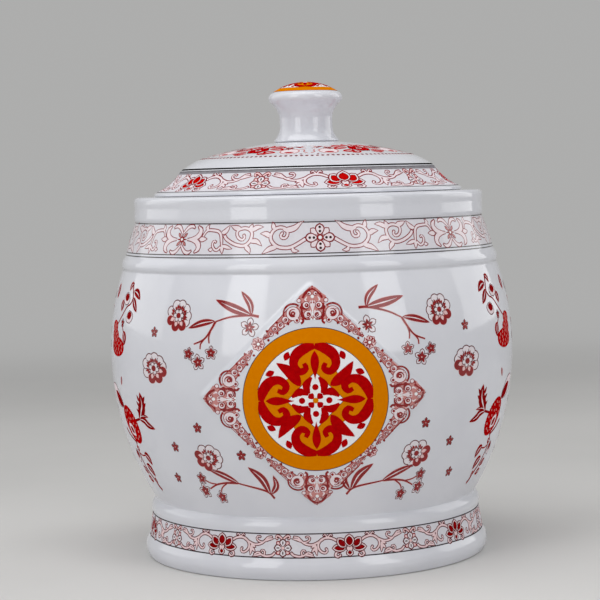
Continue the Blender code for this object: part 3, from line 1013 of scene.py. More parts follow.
def band_quatrefoil():
    """The band's small flower of four rimmed petals, with bumps between them and loops on top."""
    art = []
    for quarter in range(4):
        turn = 1j**quarter
        corner = turn * cmath.rect(1.0, math.pi / 4)
        art += rimmed_leaf("vine", "petal", 2, smooth(0.3 * turn, 6.1 * turn), 4.9, 0.7, 0.6, 0.6)
        art += leaf("dark", 4, smooth(2.0 * turn, 4.5 * turn), 0.8, 0.5, 0.4)
        art += rimmed_leaf("red", "pink", 0, smooth(2.4 * corner, 6.1 * corner), 3.2, 0.6, 0.5, 0.6)
    loop = vines("pink", (1.0, 0.2 + 5.4j, 1.6 + 6.8j, 3.5 + 7.9j, 4.8 + 6.9j, 3.8 + 5.9j))
    return art + both_sides(loop) + disc("pink", 5, 0j, 1.0)


def band_scroll(fill):
    """One half of the scrollwork of the foot's and the lid's bands, from the lotus to the quatrefoil."""
    stem = (
        8.3 + 11.1j, 11 + 12.6j, 14.5 + 13.2j, 18 + 12.2j, 20.3 + 9.5j, 20.2 + 6.5j, 18.2 + 4.2j, 15.8 + 3.6j,
        14.6 + 5j, 15.4 + 6.2j,
    )
    art = vines(
        fill,
        (1.2, *stem),
        (1.1, 17 + 12.6j, 20.5 + 10.4j, 24.5 + 8.9j, 28.7 + 9.6j, 31.5 + 11.5j, 33.5 + 13.6j, 36 + 14j),
        (0.8, 30 + 10.5j, 27.5 + 11j, 25.8 + 12.6j, 26.6 + 14.2j, 28.2 + 13.9j),
        (1.1, 38.2 + 4j, 36.4 + 2.3j, 32.5 + 1.6j, 29.5 + 2.4j, 27 + 4j, 24.4 + 2.6j),
        (0.8, 31 + 2.2j, 31.4 + 4.6j, 29.8 + 5.6j, 29 + 4.6j),
        (0.7, 14 + 13.6j, 12.3 + 15.3j, 11.4 + 14.6j),
        (0.7, 14.5 + 13.6j, 15.9 + 15.3j, 16.8 + 14.7j),
    )
    return art + tendril_leaves(
        fill,
        (2.0, 22.5 + 9.3j, 22 + 6.5j, 21.4 + 2.4j),
        (1.6, 22.3 + 7j, 24.6 + 4.3j),
        (1.5, 22.6 + 8.6j, 24.9 + 7.2j),
        (1.4, 31 + 11j, 34 + 12.4j, 37.6 + 12.9j),
        (1.2, 29.5 + 2.6j, 27 + 2.4j, 23.2 + 1.4j),
    )


def band(face, foot, radius, spans, first_turn, bloom, fill, plump=1.0, up=1.0):
    """A band all round a face: a lotus at each span's start, a quatrefoil in its middle, scrolls between.

    It lies a coat above the ground that is under it, and foot is where on the face it begins.
    """
    placed = []
    turn = first_turn
    for span in spans:
        half = math.radians(span / 2) * radius
        across = half / FOOT_HALF_REPEAT
        scroll = stretched(band_scroll(fill), across, up)
        blooms = stretched(lotus(bloom, fill, plump), up, up)
        flower = moved(stretched(band_quatrefoil(), up, up), half + 7.0j * up)
        art = blooms + flower + scroll + moved(mirrored(scroll), 2 * half)
        placed.append((face.wrapped(math.radians(turn), radius), raised(moved(art, 1j * foot), 1)))
        turn += span
    return placed


def lines_round(face, radius, lines):
    """Lines all round a face, with their place on it. Each row is a colour, a coat, a key and a width."""
    once_round = np.linspace(0.0, math.tau * radius, LINE_STEPS + 1)
    even = np.ones(LINE_STEPS + 1)
    art = [(colour, coat, once_round + 1j * key, width * even) for colour, coat, key, width in lines]
    return face.wrapped(0.0, radius), art


# Barrel flowers and sprays

BARREL_MIDDLE_TURN = math.radians(-0.7)
BIG_PETALS = (334.0, 288.0, 243.0, 22.0, 70.0, 108.0, 144.0, 181.0, 213.0)
DARK_PETALS = 3
STAR_SIZE = 7.0
TWIG_WIDTH = 1.6
UPPER_LEANS = (-3.8, 4.6)
LOWER_LEANS = (-1.4, 2.9)
LOWER_SPRAY_SHIFT = -1.8
LONE_STAR = -49.4 + 83.3j
BACK_BLOSSOM = 126j
SIDE_BLOSSOMS = (219.9 + 164j, 219.9 + 85j)
SIDE_BLOSSOM_SCALES = (0.5, 0.62)


def small_flowers(*rows):
    """Five pointed petals with a red heart. Each row is a centre, a size, a turn and a depth.

    The heart runs out into the petals: the deeper, the more of them is red.
    """
    art = []
    for centre, size, turn, depth in rows:
        for petal in range(5):
            way_out = cmath.rect(size / 2, math.radians(turn + 72 * petal))
            outline = smooth(centre + 0.1 * way_out, centre + 1.1 * way_out)
            heart = smooth(centre, centre + (0.5 + 0.38 * depth) * way_out)
            art += rimmed_leaf("vine", "petal", 0, outline, size * 0.38, 0.5, 0.56, 0.7)
            art += leaf("red", 2, heart, size * (0.1 + 0.15 * depth), 0.45, 0.7)
        art += disc("red", 3, centre, size * 0.13) + disc("pink", 4, centre, size * 0.045)
    return art


def tiny_stars(*centres):
    return small_flowers(*[(centre, STAR_SIZE, 90, 1.2) for centre in centres])


def big_flower(centre, turn, wide, high):
    """A blossom of nine round petals, three of them dark, with dark hearts round a small pale flower."""
    art = []
    for petal, direction in enumerate(BIG_PETALS):
        way_out = cmath.rect(1.0, math.radians(direction + turn))
        tip = 6.9 * way_out
        if petal < DARK_PETALS:
            art += disc("pink", 1, tip, 3.6) + disc("red", 2, tip + 0.4 * way_out, 3.1)
            art += leaf("pink", 3, smooth(4.0 * way_out, 7.4 * way_out), 2.6, 0.35, 0.6)
        else:
            art += rimmed_disc("vine", "petal", 0, tip, 3.6, 0.62)
            seam = way_out * cmath.rect(1.0, math.radians(20))
            art += leaf("vine", 2, smooth(4.8 * seam, 8.4 * seam), 0.7, 0.4)
            for side in (-1, 1):
                blot = way_out * cmath.rect(1.0, math.radians(9.0 * side))
                art += leaf("red", 3, smooth(3.8 * blot, (6.9 + 0.4 * side) * blot), 1.8, 0.45, 0.6)
    for petal in range(6):
        way_out = cmath.rect(1.0, math.tau * petal / 6 + math.radians(turn))
        art += rimmed_leaf("vine", "petal", 5, smooth(0.6 * way_out, 4.6 * way_out), 3.3, 0.45, 0.62, 0.6)
    art += disc("petal", 7, 0j, 2.2) + disc("red", 8, 0j, 1.8)
    return moved(stretched(art, wide, high), centre)


def solid_leaves(colour, *rows):
    """Leaves with a pale halo and a pale midrib, each given as its width and the points along it."""
    art = []
    for width, *points in rows:
        path = smooth(*points)
        art += leaf("pink", 0, trimmed(path, -0.3, -0.5), width + 0.7, 0.45)
        art += leaf(colour, 1, path, width, 0.45, 0.7)
        midrib = trimmed(path, 1.2, 0.18 * abs(path[-1] - path[0]))
        art += stroke("pale", 2, midrib, 0.3, 0.16 * width, 0.1)
    return art


def twig(*points, width=TWIG_WIDTH):
    path = smooth(*points)
    return stroke("pink", 0, path, width + 0.7, 1.3) + stroke("red", 1, path, width, 0.9)


def upper_spray(lean):
    """The spray beside the diamond's upper side. Its inner end, with two leaves, leans by some degrees."""
    knee = 62.3 + 169.8j
    inner = twig(32.5 + 175.4j, 39 + 175.8j, 52 + 173.6j, knee)
    inner += solid_leaves(
        "red",
        (4.2, 37.5 + 176j, 39.5 + 183j, 46.4 + 190.2j),
        (5.6, 38 + 176j, 51 + 179.4j, 64.1 + 183.5j),
    )
    art = leant(inner, knee, lean) + twig(knee, 65.5 + 164.5j, 70.5 + 158.5j, 78.4 + 155.2j)
    art += twig(65.5 + 164.5j, 66.9 + 160j, 66.6 + 156j, width=1.1)
    art += twig(70.5 + 158.5j, 73 + 155.4j, 73.4 + 152.2j, width=1.1)
    art += solid_leaves("red", (4.3, 63 + 170.2j, 72.4 + 168.8j, 83 + 165.4j))
    return art + small_flowers(
        (38.4 + 166.2j, 12.0, 100, 0.4),
        (65.2 + 149.9j, 9.0, 20, 0.8),
        (75.2 + 143.7j, 10.4, 10, 0.7),
        (82.6 + 148.9j, 8.4, 30, 1.0),
    )


def lower_spray(lean):
    """The spray beside the diamond's lower side, with an inner end that leans too."""
    knee = 54.6 + 64.2j
    inner = twig(26.9 + 55.5j, 33 + 60.3j, knee)
    inner += solid_leaves(
        "red",
        (5.8, 30 + 58.5j, 35 + 68.5j, 44.6 + 76j),
        (4.2, 29 + 58.5j, 24.8 + 64.5j, 26.6 + 71.5j),
    )
    art = leant(inner, knee, lean) + twig(knee, 63 + 64j, 72 + 62.5j, 80 + 59j)
    art += twig(72 + 62.5j, 78 + 63.2j, 82.5 + 65j, width=0.9)
    art += twig(63 + 64j, 68.5 + 60.5j, 71.2 + 56.5j, width=0.9)
    art += solid_leaves("red", (4.4, 53.5 + 64.2j, 65 + 69.2j, 77.5 + 73.2j))
    return art + small_flowers(
        (85.5 + 57.2j, 10.4, 80, 0.8),
        (85.1 + 66j, 8.4, 20, 1.0),
        (71.1 + 53.6j, 9.4, 10, 0.9),
    )


def leant(art, about, degrees):
    """The drawing turned about a point."""
    return moved(spun(moved(art, -about), degrees), about)


def scattered_flowers():
    """One half of the single blossoms and stars between the sprays."""
    art = big_flower(92.2 + 173.2j, turn=0, wide=1.06, high=1.0)
    art += big_flower(114.8 + 138.2j, turn=-48, wide=1.26, high=0.97)
    art += big_flower(75.9 + 80.7j, turn=40, wide=1.14, high=0.86)
    return art + tiny_stars(114.4 + 161.8j, 80.3 + 100.6j, 104.6 + 86.3j, 112.5 + 64.4j)


def side_bouquet():
    """One half of the bouquet on the jar's side: an arching spray above, a big ball of blossom below."""
    upper_stem = (
        151.1 + 192.7j, 149.6 + 188.3j, 147.4 + 182.8j, 149.8 + 178.8j, 155.8 + 176.3j, 163.2 + 170.1j,
        170.5 + 164.7j,
    )
    foot = (158.6 + 87j, 160.4 + 81j, 160.6 + 73j, 157.4 + 65j, 150.6 + 58j, 149 + 54.6j, 146.2 + 52.1j)
    art = strokes(
        "red",
        1,
        ((1.5, 1.1, 1.1), *upper_stem),
        ((1.0, 1.4, 2.4), *foot),
        ((1.8, 1.3), 175 + 93j, 168.8 + 88.4j, 158 + 84j),
        ((1.0,), 160.3 + 166j, 160 + 163.4j, 157.2 + 159.4j),
        ((1.8,), 141 + 102.2j, 148 + 100.6j),
    )
    art += solid_leaves(
        "red",
        (5.4, 147.5 + 187.6j, 141.4 + 186j, 136.3 + 182.2j),
        (5.0, 147.1 + 183.2j, 143.6 + 179.2j, 138.9 + 173.8j),
        (4.0, 150.4 + 192j, 153.6 + 191j, 155.6 + 187.4j),
        (6.4, 164.6 + 181j, 166 + 173.2j),
        (8.0, 183 + 191j, 186 + 181j),
        (6.4, 157.4 + 160.4j, 154.9 + 155.6j, 156.2 + 150.6j),
        (3.0, 162.6 + 129.4j, 164.6 + 123.4j),
        (8.4, 141 + 101.8j, 137 + 106.8j, 133.6 + 113j, 134.6 + 120.8j),
        (2.8, 141.4 + 101.8j, 138.2 + 104.2j, 133.2 + 104.9j, 128.3 + 104.5j),
        (5.0, 141.4 + 102.4j, 134.6 + 101.8j, 130 + 99j, 122.6 + 96.9j),
        (4.4, 158 + 81.4j, 162.4 + 78.6j),
        (6.2, 150.4 + 77.6j, 145.6 + 75j, 143 + 70.2j),
        (6.2, 154.6 + 69.6j, 149.4 + 66.6j, 146.6 + 61.6j),
        (4.4, 165.4 + 67.1j, 158.7 + 62.6j),
        (4.6, 163.4 + 59.8j, 156 + 57.4j),
        (3.0, 148.9 + 60.8j, 149.4 + 55.6j),
    )
    for tooth, out in (
        (139.6 + 106.6j, 3 + 2.6j), (138.2 + 111.4j, 2.6 + 3j), (137.4 + 115.6j, 1.8 + 3.2j),
        (133.4 + 107.6j, -3 + 1.6j), (131 + 111.8j, -2.6 + 2.2j), (131 + 115.6j, -2.2 + 3j),
        (132 + 100.4j, -1 - 3.4j),
    ):
        art += leaf("red", 1, smooth(tooth - 0.4 * out, tooth + out), 2.4, 0.35)
    art += bud(157.4 + 186.4j, 158.2 + 177.4j, 11.6) + bud(150 + 174.6j, 147.8 + 165.8j, 11.4)
    art += bud(166.4 + 108.2j, 193 + 121.6j, 12.0) + bud(166.4 + 79.4j, 165.6 + 69.6j, 7.0)
    art += small_flowers((160 + 165.6j, 6.0, 90, 0.9))
    art += twig(160.5 + 77j, 155 + 75.6j, 148.6 + 76.6j, width=1.0)
    art += ball_head(177 + 162.6j, 13.0, 6.6, 0) + ball_head(175.4 + 156.6j, 17.0, 7.6, 0)
    art += ball_head(169.5 + 149.2j, 30.0, 12.8, 0) + ball_head(157.6 + 97j, 32.0, 21.0, 46)
    art += leaf("pale", 5, smooth(163.4 + 97.4j, 154.6 + 89.4j), 7.0)
    return art + leaf("red", 6, smooth(161.8 + 95.6j, 156.2 + 91j), 3.8)


def middle_bouquet():
    """A big flower with leaves and small flowers round it, for the middle of the jar's back and sides."""
    side = solid_leaves(
        "crimson",
        (8.0, 9 - 5j, 27 - 11j, 47 - 5j),
        (7.0, 10 + 5j, 25 + 15j, 43 + 18j),
        (6.6, 6 - 10j, 13 - 26j, 31 - 34j),
        (5.6, 4 + 12j, 10 + 25j, 25 + 35j),
    )
    side += twig(8 - 8j, 22 - 20j, 40 - 24j) + twig(8 + 9j, 20 + 24j, 38 + 30j)
    side += small_flowers((43 - 24.6j, 9.0, 20, 0.8), (41 + 31j, 9.0, 50, 0.8))
    art = twig(-12j, 2 - 30j, -2 - 44j) + twig(12j, -1 + 30j, 1 + 42j) + both_sides(side)
    return art + small_flowers((1 + 44j, 10.5, 90, 0.8)) + big_flower(0j, turn=0, wide=1.696, high=1.6)


def bud(root, tip, width):
    """A bud: a red heart in a pale, outlined sheath that opens towards its tip."""
    path = smooth(root, tip)
    art = leaf("vine", 1, path, width, 0.55, 0.6)
    art += leaf("pale", 2, trimmed(path, 0.5, 0.6), width - 1.1, 0.55, 0.6)
    heart = trimmed(path, 0.8, 0.3 * abs(tip - root))
    return art + leaf("red", 3, heart, 0.66 * width, 0.5, 0.7)


def ball_head(centre, length, width, tilt):
    """A dense ball of blossom: a solid scalloped oval with pale flecks in it."""
    turn = np.linspace(0.0, math.pi, 16)
    art = [("crimson", 1, -length * 0.45 * np.cos(turn) + 0j, 0.9 * width * np.sin(turn))]
    scallops = round((length + width) * 0.7)
    for scallop in range(scallops):
        out = cmath.rect(1.0, math.tau * scallop / scallops)
        art += disc("crimson", 2, out.real * length * 0.42 + 1j * out.imag * width * 0.42, 1.5)
    for ring_share, flecks in ((0.7, round(0.36 * scallops)), (0.32, round(0.18 * scallops))):
        for fleck in range(flecks):
            out = cmath.rect(ring_share / 2, math.tau * (fleck + 0.5 * ring_share) / flecks)
            place = out.real * length + 1j * out.imag * width
            art += leaf("rose", 3, smooth(place - 1.2j, place + 1.2j), 1.6, 0.5, 0.5)
    return moved(spun(art, tilt), centre)


# The diamond's print

COIN_RADIUS = 46.4
COIN_RING = 9.6
COIN_HOLE = 18.0
COIN_SHIFT = 0.5 - 0.8j


def corner_cluster():
    """Scrollwork in the upper corner of the diamond: a rimmed pink mass under its scrolls."""
    silhouette = (0.5, 4.5, 9.0, 13.0, 18.6, 15.0, 15.0, 21.0, 26.0, 27.0, 24.0, 15.0)
    axis = smooth(71.4j, 50.4j, step=0.8)
    art = stroke("red", 0, axis, *silhouette)
    art += stroke("rose", 1, trimmed(axis, 0.8, 0.5), *[width - 1.0 for width in silhouette[1:]])
    half = strokes("red", 3, ((1.5, 1.9, 1.3), 0.9 + 69.4j, 4.2 + 67j, 6.2 + 63.6j))
    half += rimmed_disc("red", "pale", 3, 1.9 + 66.6j, 1.5, 0.4) + disc("red", 5, 2.2 + 66.4j, 0.6)
    half += strokes(
        "pale",
        3,
        ((0.5, 1.2, 0.4), 3.4 + 64.6j, 4.6 + 62.6j, 3.2 + 61.6j),
        ((0.4, 0.9, 0.4), 1.0 + 62.2j, 1.7 + 60.2j, 0.8 + 58.2j),
        ((0.4, 1.1, 0.4), 7.4 + 59.8j, 8.6 + 58.9j, 8.4 + 57.4j),
        ((0.5, 1.2, 0.5), 5.8 + 55.6j, 7.4 + 54.2j, 7.0 + 51.6j),
        ((0.9, 0.5), 1.6 + 56.2j, 0.7 + 54.6j),
    )
    half += disc("red", 3, 0.9 + 60.9j, 0.6) + disc("red", 3, 1.4 + 51.2j, 0.7)
    half += disc("pale", 4, 7.6 + 49.6j, 0.8) + rimmed_disc("red", "pale", 3, 8.5 + 62.2j, 1.5, 0.4)
    half += rimmed_disc("red", "pale", 4, 4.0 + 59.4j, 2.5, 0.5) + disc("red", 6, 3.7 + 59.2j, 1.3)
    half += disc("pink", 7, 3.9 + 59.4j, 0.45)
    half += strokes("red", 3, ((1.1, 1.3, 0.6), 6.8 + 60.5j, 6.6 + 57.5j, 3.4 + 56.6j))
    half += stroke("red", 3, spiral(12.4 + 54.2j, 190, -20, 6.0, 6.0), 0.9, 1.3, 0.9)
    half += c_scroll(12.4 + 54.2j, 4.5, 120)
    half += strokes("red", 4, ((1.2, 2.2, 2.0, 0.9), 6.9 + 56j, 6.7 + 53j, 4.6 + 51.2j, 0.8 + 50.7j))
    half += c_scroll(2.9 + 53.4j, 2.9, 300)
    half += disc("white", 6, 1 + 50.6j, 0.65)
    half += rimmed_disc("red", "pale", 3, 10.2 + 50.0j, 1.9, 0.4) + disc("red", 5, 10.0 + 49.9j, 0.9)
    half += leaf("red", 3, smooth(5.8 + 51.4j, 7.3 + 47.3j), 2.4)
    half += leaf("rose", 2, smooth(9.4 + 52.6j, 7.3 + 48.6j), 2.6)
    middle = disc("white", 5, 64.6j, 1.1) + leaf("pale", 2, smooth(62.6j, 55.4j), 2.2)
    middle += disc("red", 4, 69.4j, 0.8) + leaf("white", 6, smooth(57.2j, 51.5j), 0.9)
    return art + both_sides(half) + middle


def c_scroll(centre, size, start):
    """A scroll: a rimmed pale disc in which a thick stroke winds in to a dark core."""
    art = rimmed_disc("red", "pale", 3, centre, size, 0.42)
    winding = spiral(centre, start, start - 250, size * 0.62, size * 0.34)
    art += stroke("red", 5, winding, 0.3, size * 0.24, size * 0.3)
    return art + disc("red", 5, centre, size * 0.34) + disc("pink", 6, centre, size * 0.11)


def side_chain():
    """The scrolls along one side of the diamond, drawn from its upper corner down towards the rosette."""
    run = smooth(13 + 54.5j, 22 + 46.6j, 31.6 + 38.6j)
    art = stroke("red", 0, run, 8.0, 6.4, 5.4, 1.6)
    art += stroke("rose", 1, trimmed(run, 0, 0.5), 7.0, 5.5, 4.5, 0.8)
    scrolls = (
        (16.9 + 50.0j, 2.3),
        (20.8 + 47.6j, 2.2),
        (23.8 + 44.3j, 1.9),
        (27.0 + 42.2j, 1.7),
        (29.6 + 39.9j, 1.2),
    )
    for index, (centre, size) in enumerate(scrolls):
        across = (-1) ** index * (0.5 + 0.5j)
        art += c_scroll(centre + across, size, 170 if index % 2 else 350)
        art += leaf("red", 3, smooth(centre - 2.2 * across, centre - 4.6 * across + (0.8 - 0.8j)), 1.7)
        art += disc("pale", 3, centre - 2.4 * across + (1.6 - 1.6j), 0.6)
    return art


def side_rosette():
    """The blossom in the middle of a side."""
    art = []
    for petal in range(8):
        way_out = cmath.rect(1.0, math.tau * petal / 8)
        art += rimmed_leaf("red", "pink", 0, smooth(0.8 * way_out, 4.6 * way_out), 3.2, 0.4, 0.62, 0.6)
        art += leaf("red", 2, smooth(1.2 * way_out, 3.6 * way_out), 1.1)
    art += disc("red", 3, 0j, 1.5) + disc("white", 4, 0j, 0.95)
    return moved(art, 35.4 + 34.8j)


def coin():
    """A gold coin: white segments inside its ring, a white square in its middle, an ornament over it."""
    inner = COIN_RADIUS - COIN_RING
    art = disc("line", 1, 0j, COIN_RADIUS) + disc("gold", 2, 0j, COIN_RADIUS - 0.5)
    art += disc("line", 3, 0j, inner + 0.4) + disc("white", 4, 0j, inner)
    art += four_times(coin_arm(inner))
    hole = smooth(-COIN_HOLE * 1j, COIN_HOLE * 1j)
    art += stroke("line", 7, trimmed(hole, -0.5, -0.5), 0, 2 * COIN_HOLE + 1, 0)
    return art + stroke("white", 8, hole, 0, 2 * COIN_HOLE, 0) + ornament()


def coin_arm(inner):
    """One arm of the coin's concave-sided cross, from the middle out to the ring."""
    path = np.linspace(0.0, inner + 0.8, 28) + 0j
    widths = 14.5 + 34.0 * (1 - way(path)) ** 1.5
    return [("line", 5, trimmed(path, 0.0, 0.9), widths + 0.8), ("gold", 6, path, widths)]


def ornament():
    """Four deep red cloud heads round a small blossom, with leaves between them, in heavy brushed strokes."""
    cloud = (34.6j, 6.5 + 33j, 12 + 28.6j, 13.2 + 22.6j, 9.6 + 18.4j, 5.6 + 20.4j, 6.8 + 23.8j)
    head = strokes(
        "crimson",
        9,
        ((3.4, 6.6, 7.0, 5.8, 5.0, 4.4, 2.6), *cloud),
        ((2.4, 5.4, 1.6), 4.4 + 4.4j, 5.6 + 9.8j, 2.4 + 15j),
    )
    head += leaf("crimson", 9, smooth(16.4 + 31.2j, 18.8 + 25.6j), 4.0)
    stem = leaf("crimson", 9, smooth(13.5j, 31.5j), 5.4, 0.62) + disc("crimson", 9, 8.6j, 2.0)
    side_leaf = leaf("crimson", 9, smooth(9.4 + 9.4j, 18 + 15.4j, 24.2 + 24.2j), 7.4, 0.42)
    petal = leaf("crimson", 9, smooth(1.4 + 0j, 6.0 + 0j), 4.4, 0.62, 0.6)
    arm = both_sides(head) + stem + side_leaf + spun(petal, 45)
    return four_times(arm) + disc("gold", 10, 0j, 1.8)


# Lid and knob decoration

CAP_SHARE = 0.487
DOME_DOTS = 132
DOME_DOTS_RADIUS = 73.6
DOME_REPEATS = 5
DOME_FIRST_TURN = -88.5


def dome_art():
    """The ring of dots round the dome, and inside it blossoms with leaves between pairs of ringed seeds."""
    art = []
    for dot in range(DOME_DOTS):
        place = cmath.rect(DOME_DOTS_RADIUS, math.tau * dot / DOME_DOTS)
        art += rimmed_disc("pink", "vine", 0, place, 1.35, 0.3)
    for repeat in range(DOME_REPEATS):
        turn = DOME_FIRST_TURN + 360 / DOME_REPEATS * repeat
        art += spun(dome_seeds(), turn) + spun(dome_blossom(), turn + 180 / DOME_REPEATS)
    return art


def dome_blossom():
    """A blossom among leaves, drawn along the real axis from the dome's middle outwards."""
    heart = 57.5 + 0j
    art = []
    for petal in range(6):
        way_out = cmath.rect(1.0, math.radians(60 * petal + 30))
        path = smooth(heart + 0.8 * way_out, heart + 8.2 * way_out)
        art += rimmed_leaf("dark", "crimson", 2, path, 7.2, 0.35, 0.62, 0.6)
    art += disc("pale", 4, heart, 2.0) + disc("dark", 5, heart, 1.3)
    side = solid_leaves(
        "crimson",
        (6.6, 60.4 + 7.4j, 62.6 + 12j, 62.8 + 17.8j),
        (6.6, 54.4 + 7.4j, 53 + 12.6j, 55.6 + 19j),
        (5.2, 50 + 5j, 46.4 + 9.6j, 47.6 + 16.4j),
        (4.2, 50 + 1.4j, 46 + 3.6j, 42 + 2.4j),
        (4.4, 64.6 + 4.6j, 67 + 8.6j, 67.4 + 13.4j),
    )
    side += small_flowers((50.4 + 20.6j, 7.4, 20, 0.9))
    return art + side + upside_down(side)


def dome_seeds():
    """Two red seeds in pink rings, with pale scrolls beside them."""
    seed = leaf("pale", 0, smooth(62.4 - 7.6j, 62.4 + 7.6j), 12.4, 0.5, 0.7)
    seed += ring("rose", 1, 62.4 + 0j, 6.4, 0.9)
    seed += leaf("crimson", 2, smooth(65 - 3.3j, 65.6 + 0j, 65 + 3.3j), 3.4, 0.5, 0.6)
    widths = (0.9, 1.1, 0.6)
    half = spun(seed, 12) + strokes(
        "rose",
        0,
        (widths, 68 + 1j, 64 + 3.5j, 59 + 3j, 56.5 + 5.5j, 58.6 + 7.4j),
        (widths, 54 + 2j, 50 + 4.6j, 46.5 + 3.6j, 45.6 + 0.8j),
        (widths, 52 + 12j, 48 + 10.6j, 47.6 + 15j, 51 + 17j),
    )
    half += leaf("red", 1, smooth(53 + 5j, 49 + 7j, 47 + 10j), 2.6) + disc("red", 1, 69.8 + 5.6j, 0.8)
    return half + upside_down(half)


def decorate(pot, lid, knob, paints, dull_paints):
    """Fires all the decoration on the three glazed pieces, on the outer stretch of each section."""
    pot = pot[np.argmax(pot[:, 1]) :]
    lid = lid[: np.argmax(lid[:, 0]) + 1]
    knob = knob[: np.argmax(knob[:, 0]) + 1]
    neck = Face(pot, NECK_FOOT_Z, NECK_TOP_Z + COLLAR_STEP, "height")
    foot = Face(pot, FOOT_EDGE_Z, FOOT_TOP, "height")
    barrel = Face(pot, FOOT_TOP, SHOULDER_Z, "height")
    cove = Face(lid, RIM_Z + COVE_FOOT_Z - FIT_GAP, RIM_Z + COVE_TOP_Z, "along")
    dome = Face(lid, RIM_Z + COVE_FOOT_Z, RIM_Z + KNOB_SEAT_Z, "radius")
    cap = Face(knob, RIM_Z + KNOB_SEAT_Z + KNOB_HEAD_TOP, math.inf, "radius")

    placed = [lines_round(neck, NECK_BAND_RADIUS, NECK_LINES)]
    art = tinted(raised(moved(neck_art(), 1j * NECK_BAND_Z), 1), "vine", "wine")
    for repeat in range(NECK_REPEATS):
        turn = NECK_FLOWER_TURN + math.tau * repeat / NECK_REPEATS
        placed.append((neck.wrapped(turn, NECK_BAND_RADIUS), art))
    fire_on("neck_band", "jar", placed, paints)

    placed = [lines_round(foot, FOOT_BAND_RADIUS, FOOT_LINES)]
    placed += band(foot, FOOT_BEAD_TOP, FOOT_BAND_RADIUS, FOOT_SPANS, FOOT_FIRST_TURN, "red", "blush")
    fire_on("foot_band", "jar", placed, dull_paints)

    right, left = (upper_spray(lean) for lean in UPPER_LEANS)
    art = right + mirrored(left) + both_sides(scattered_flowers())
    right, left = (lower_spray(lean) for lean in LOWER_LEANS)
    art += moved(right + mirrored(left), LOWER_SPRAY_SHIFT)
    front = barrel.wrapped(BARREL_MIDDLE_TURN, BELLY_RADIUS)
    back = barrel.wrapped(BARREL_MIDDLE_TURN + math.pi, BELLY_RADIUS)
    small = stretched(middle_bouquet(), *SIDE_BLOSSOM_SCALES)
    sides = both_sides([part for place in SIDE_BLOSSOMS for part in moved(small, place)])
    on_front = art + sides + tiny_stars(LONE_STAR)
    on_back = art + moved(middle_bouquet(), BACK_BLOSSOM)
    fire_on("barrel", "jar", [(front, on_front), (back, on_back)], paints)
    bouquets = both_sides(side_bouquet())
    fire_on("bouquets", "jar", [(front, bouquets), (back, bouquets)], dull_paints)

    corner = corner_cluster() + both_sides(side_chain()) + side_rosette()
    fire_on("diamond", "jar", [(on_diamond, four_times(corner))], paints)
    fire_on("coin", "jar", [(on_diamond, moved(coin(), COIN_SHIFT))], dull_paints)

    look = ("bright", "pale", COVE_PLUMPNESS, COVE_STRETCH)
    lid_band = band(cove, COVE_ART_FOOT, COVE_RADIUS, COVE_SPANS, COVE_FIRST_TURN, *look)
    placed = [lines_round(cove, COVE_RADIUS, COVE_LINES)]
    placed += [(place, tinted(art, "vine", "wine")) for place, art in lid_band]
    fire_on("lid_band", "lid", placed, dull_paints)
    fire_on("lid_ledge", "lid", [lines_round(dome, LEDGE_RADIUS, LEDGE_LINES)], dull_paints)
    fire_on("lid_dome", "lid", [(dome.topped(), dome_art())], dull_paints)
    fire_on("knob_cap", "lid", [(cap.topped(), stretched(coin(), CAP_SHARE, CAP_SHARE))], dull_paints)


# Studio

CAMERA_PLACE = (0.0, -1.34812, 0.25905)
CAMERA_TILT = math.radians(3.586)
CAMERA_PAN = math.radians(0.312)
CAMERA_ROLL = -0.02544
CAMERA_LENS = 115.65
SENSOR = 36.0
FILL_LEVEL = 0.12
BACKDROP_LEVEL = 0.42
FILL_COLOUR = (0.95, 0.97, 1.0, 1.0)
BACKDROP_COLOUR = (1.0, 1.0, 0.99, 1.0)
FADE_START = 0.7
FADE_END = 1.9
SOFTBOX_TOP = 1.5


def make_camera():
    data = bpy.data.cameras.new("camera")
    data.lens = CAMERA_LENS
    data.sensor_width = SENSOR
    camera = bpy.data.objects.new("camera", data)
    turn = Matrix.Rotation(CAMERA_PAN, 4, "Z") @ Matrix.Rotation(math.pi / 2 - CAMERA_TILT, 4, "X")
    camera.matrix_world = Matrix.Translation(CAMERA_PLACE) @ turn @ Matrix.Rotation(CAMERA_ROLL, 4, "Z")
    bpy.context.scene.collection.objects.link(camera)
    bpy.context.scene.camera = camera


def computed(tree, operation, first, second):
    """What a maths node makes of two outputs."""
    node = tree.nodes.new("ShaderNodeMath")
    node.operation = operation
    tree.links.new(first, node.inputs[0])
    tree.links.new(second, node.inputs[1])
    return node.outputs["Value"]


def seen_ray(tree):
    """1 for the rays of the camera and of reflections and refractions, 0 for those that only light things."""
    ray = tree.nodes.new("ShaderNodeLightPath")
    seen = ray.outputs["Is Camera Ray"]
    for kind in ("Is Glossy Ray", "Is Transmission Ray"):
        seen = computed(tree, "MAXIMUM", seen, ray.outputs[kind])
    return seen


def blend_into(tree, surface, share, hidden, shown):
    """Feeds a surface with a hidden shader, and by the share with a shown one."""
    blend = tree.nodes.new("ShaderNodeMixShader")
    tree.links.new(share, blend.inputs["Fac"])
    tree.links.new(hidden, blend.inputs[1])
    tree.links.new(shown, blend.inputs[2])
    tree.links.new(blend.outputs["Shader"], surface)


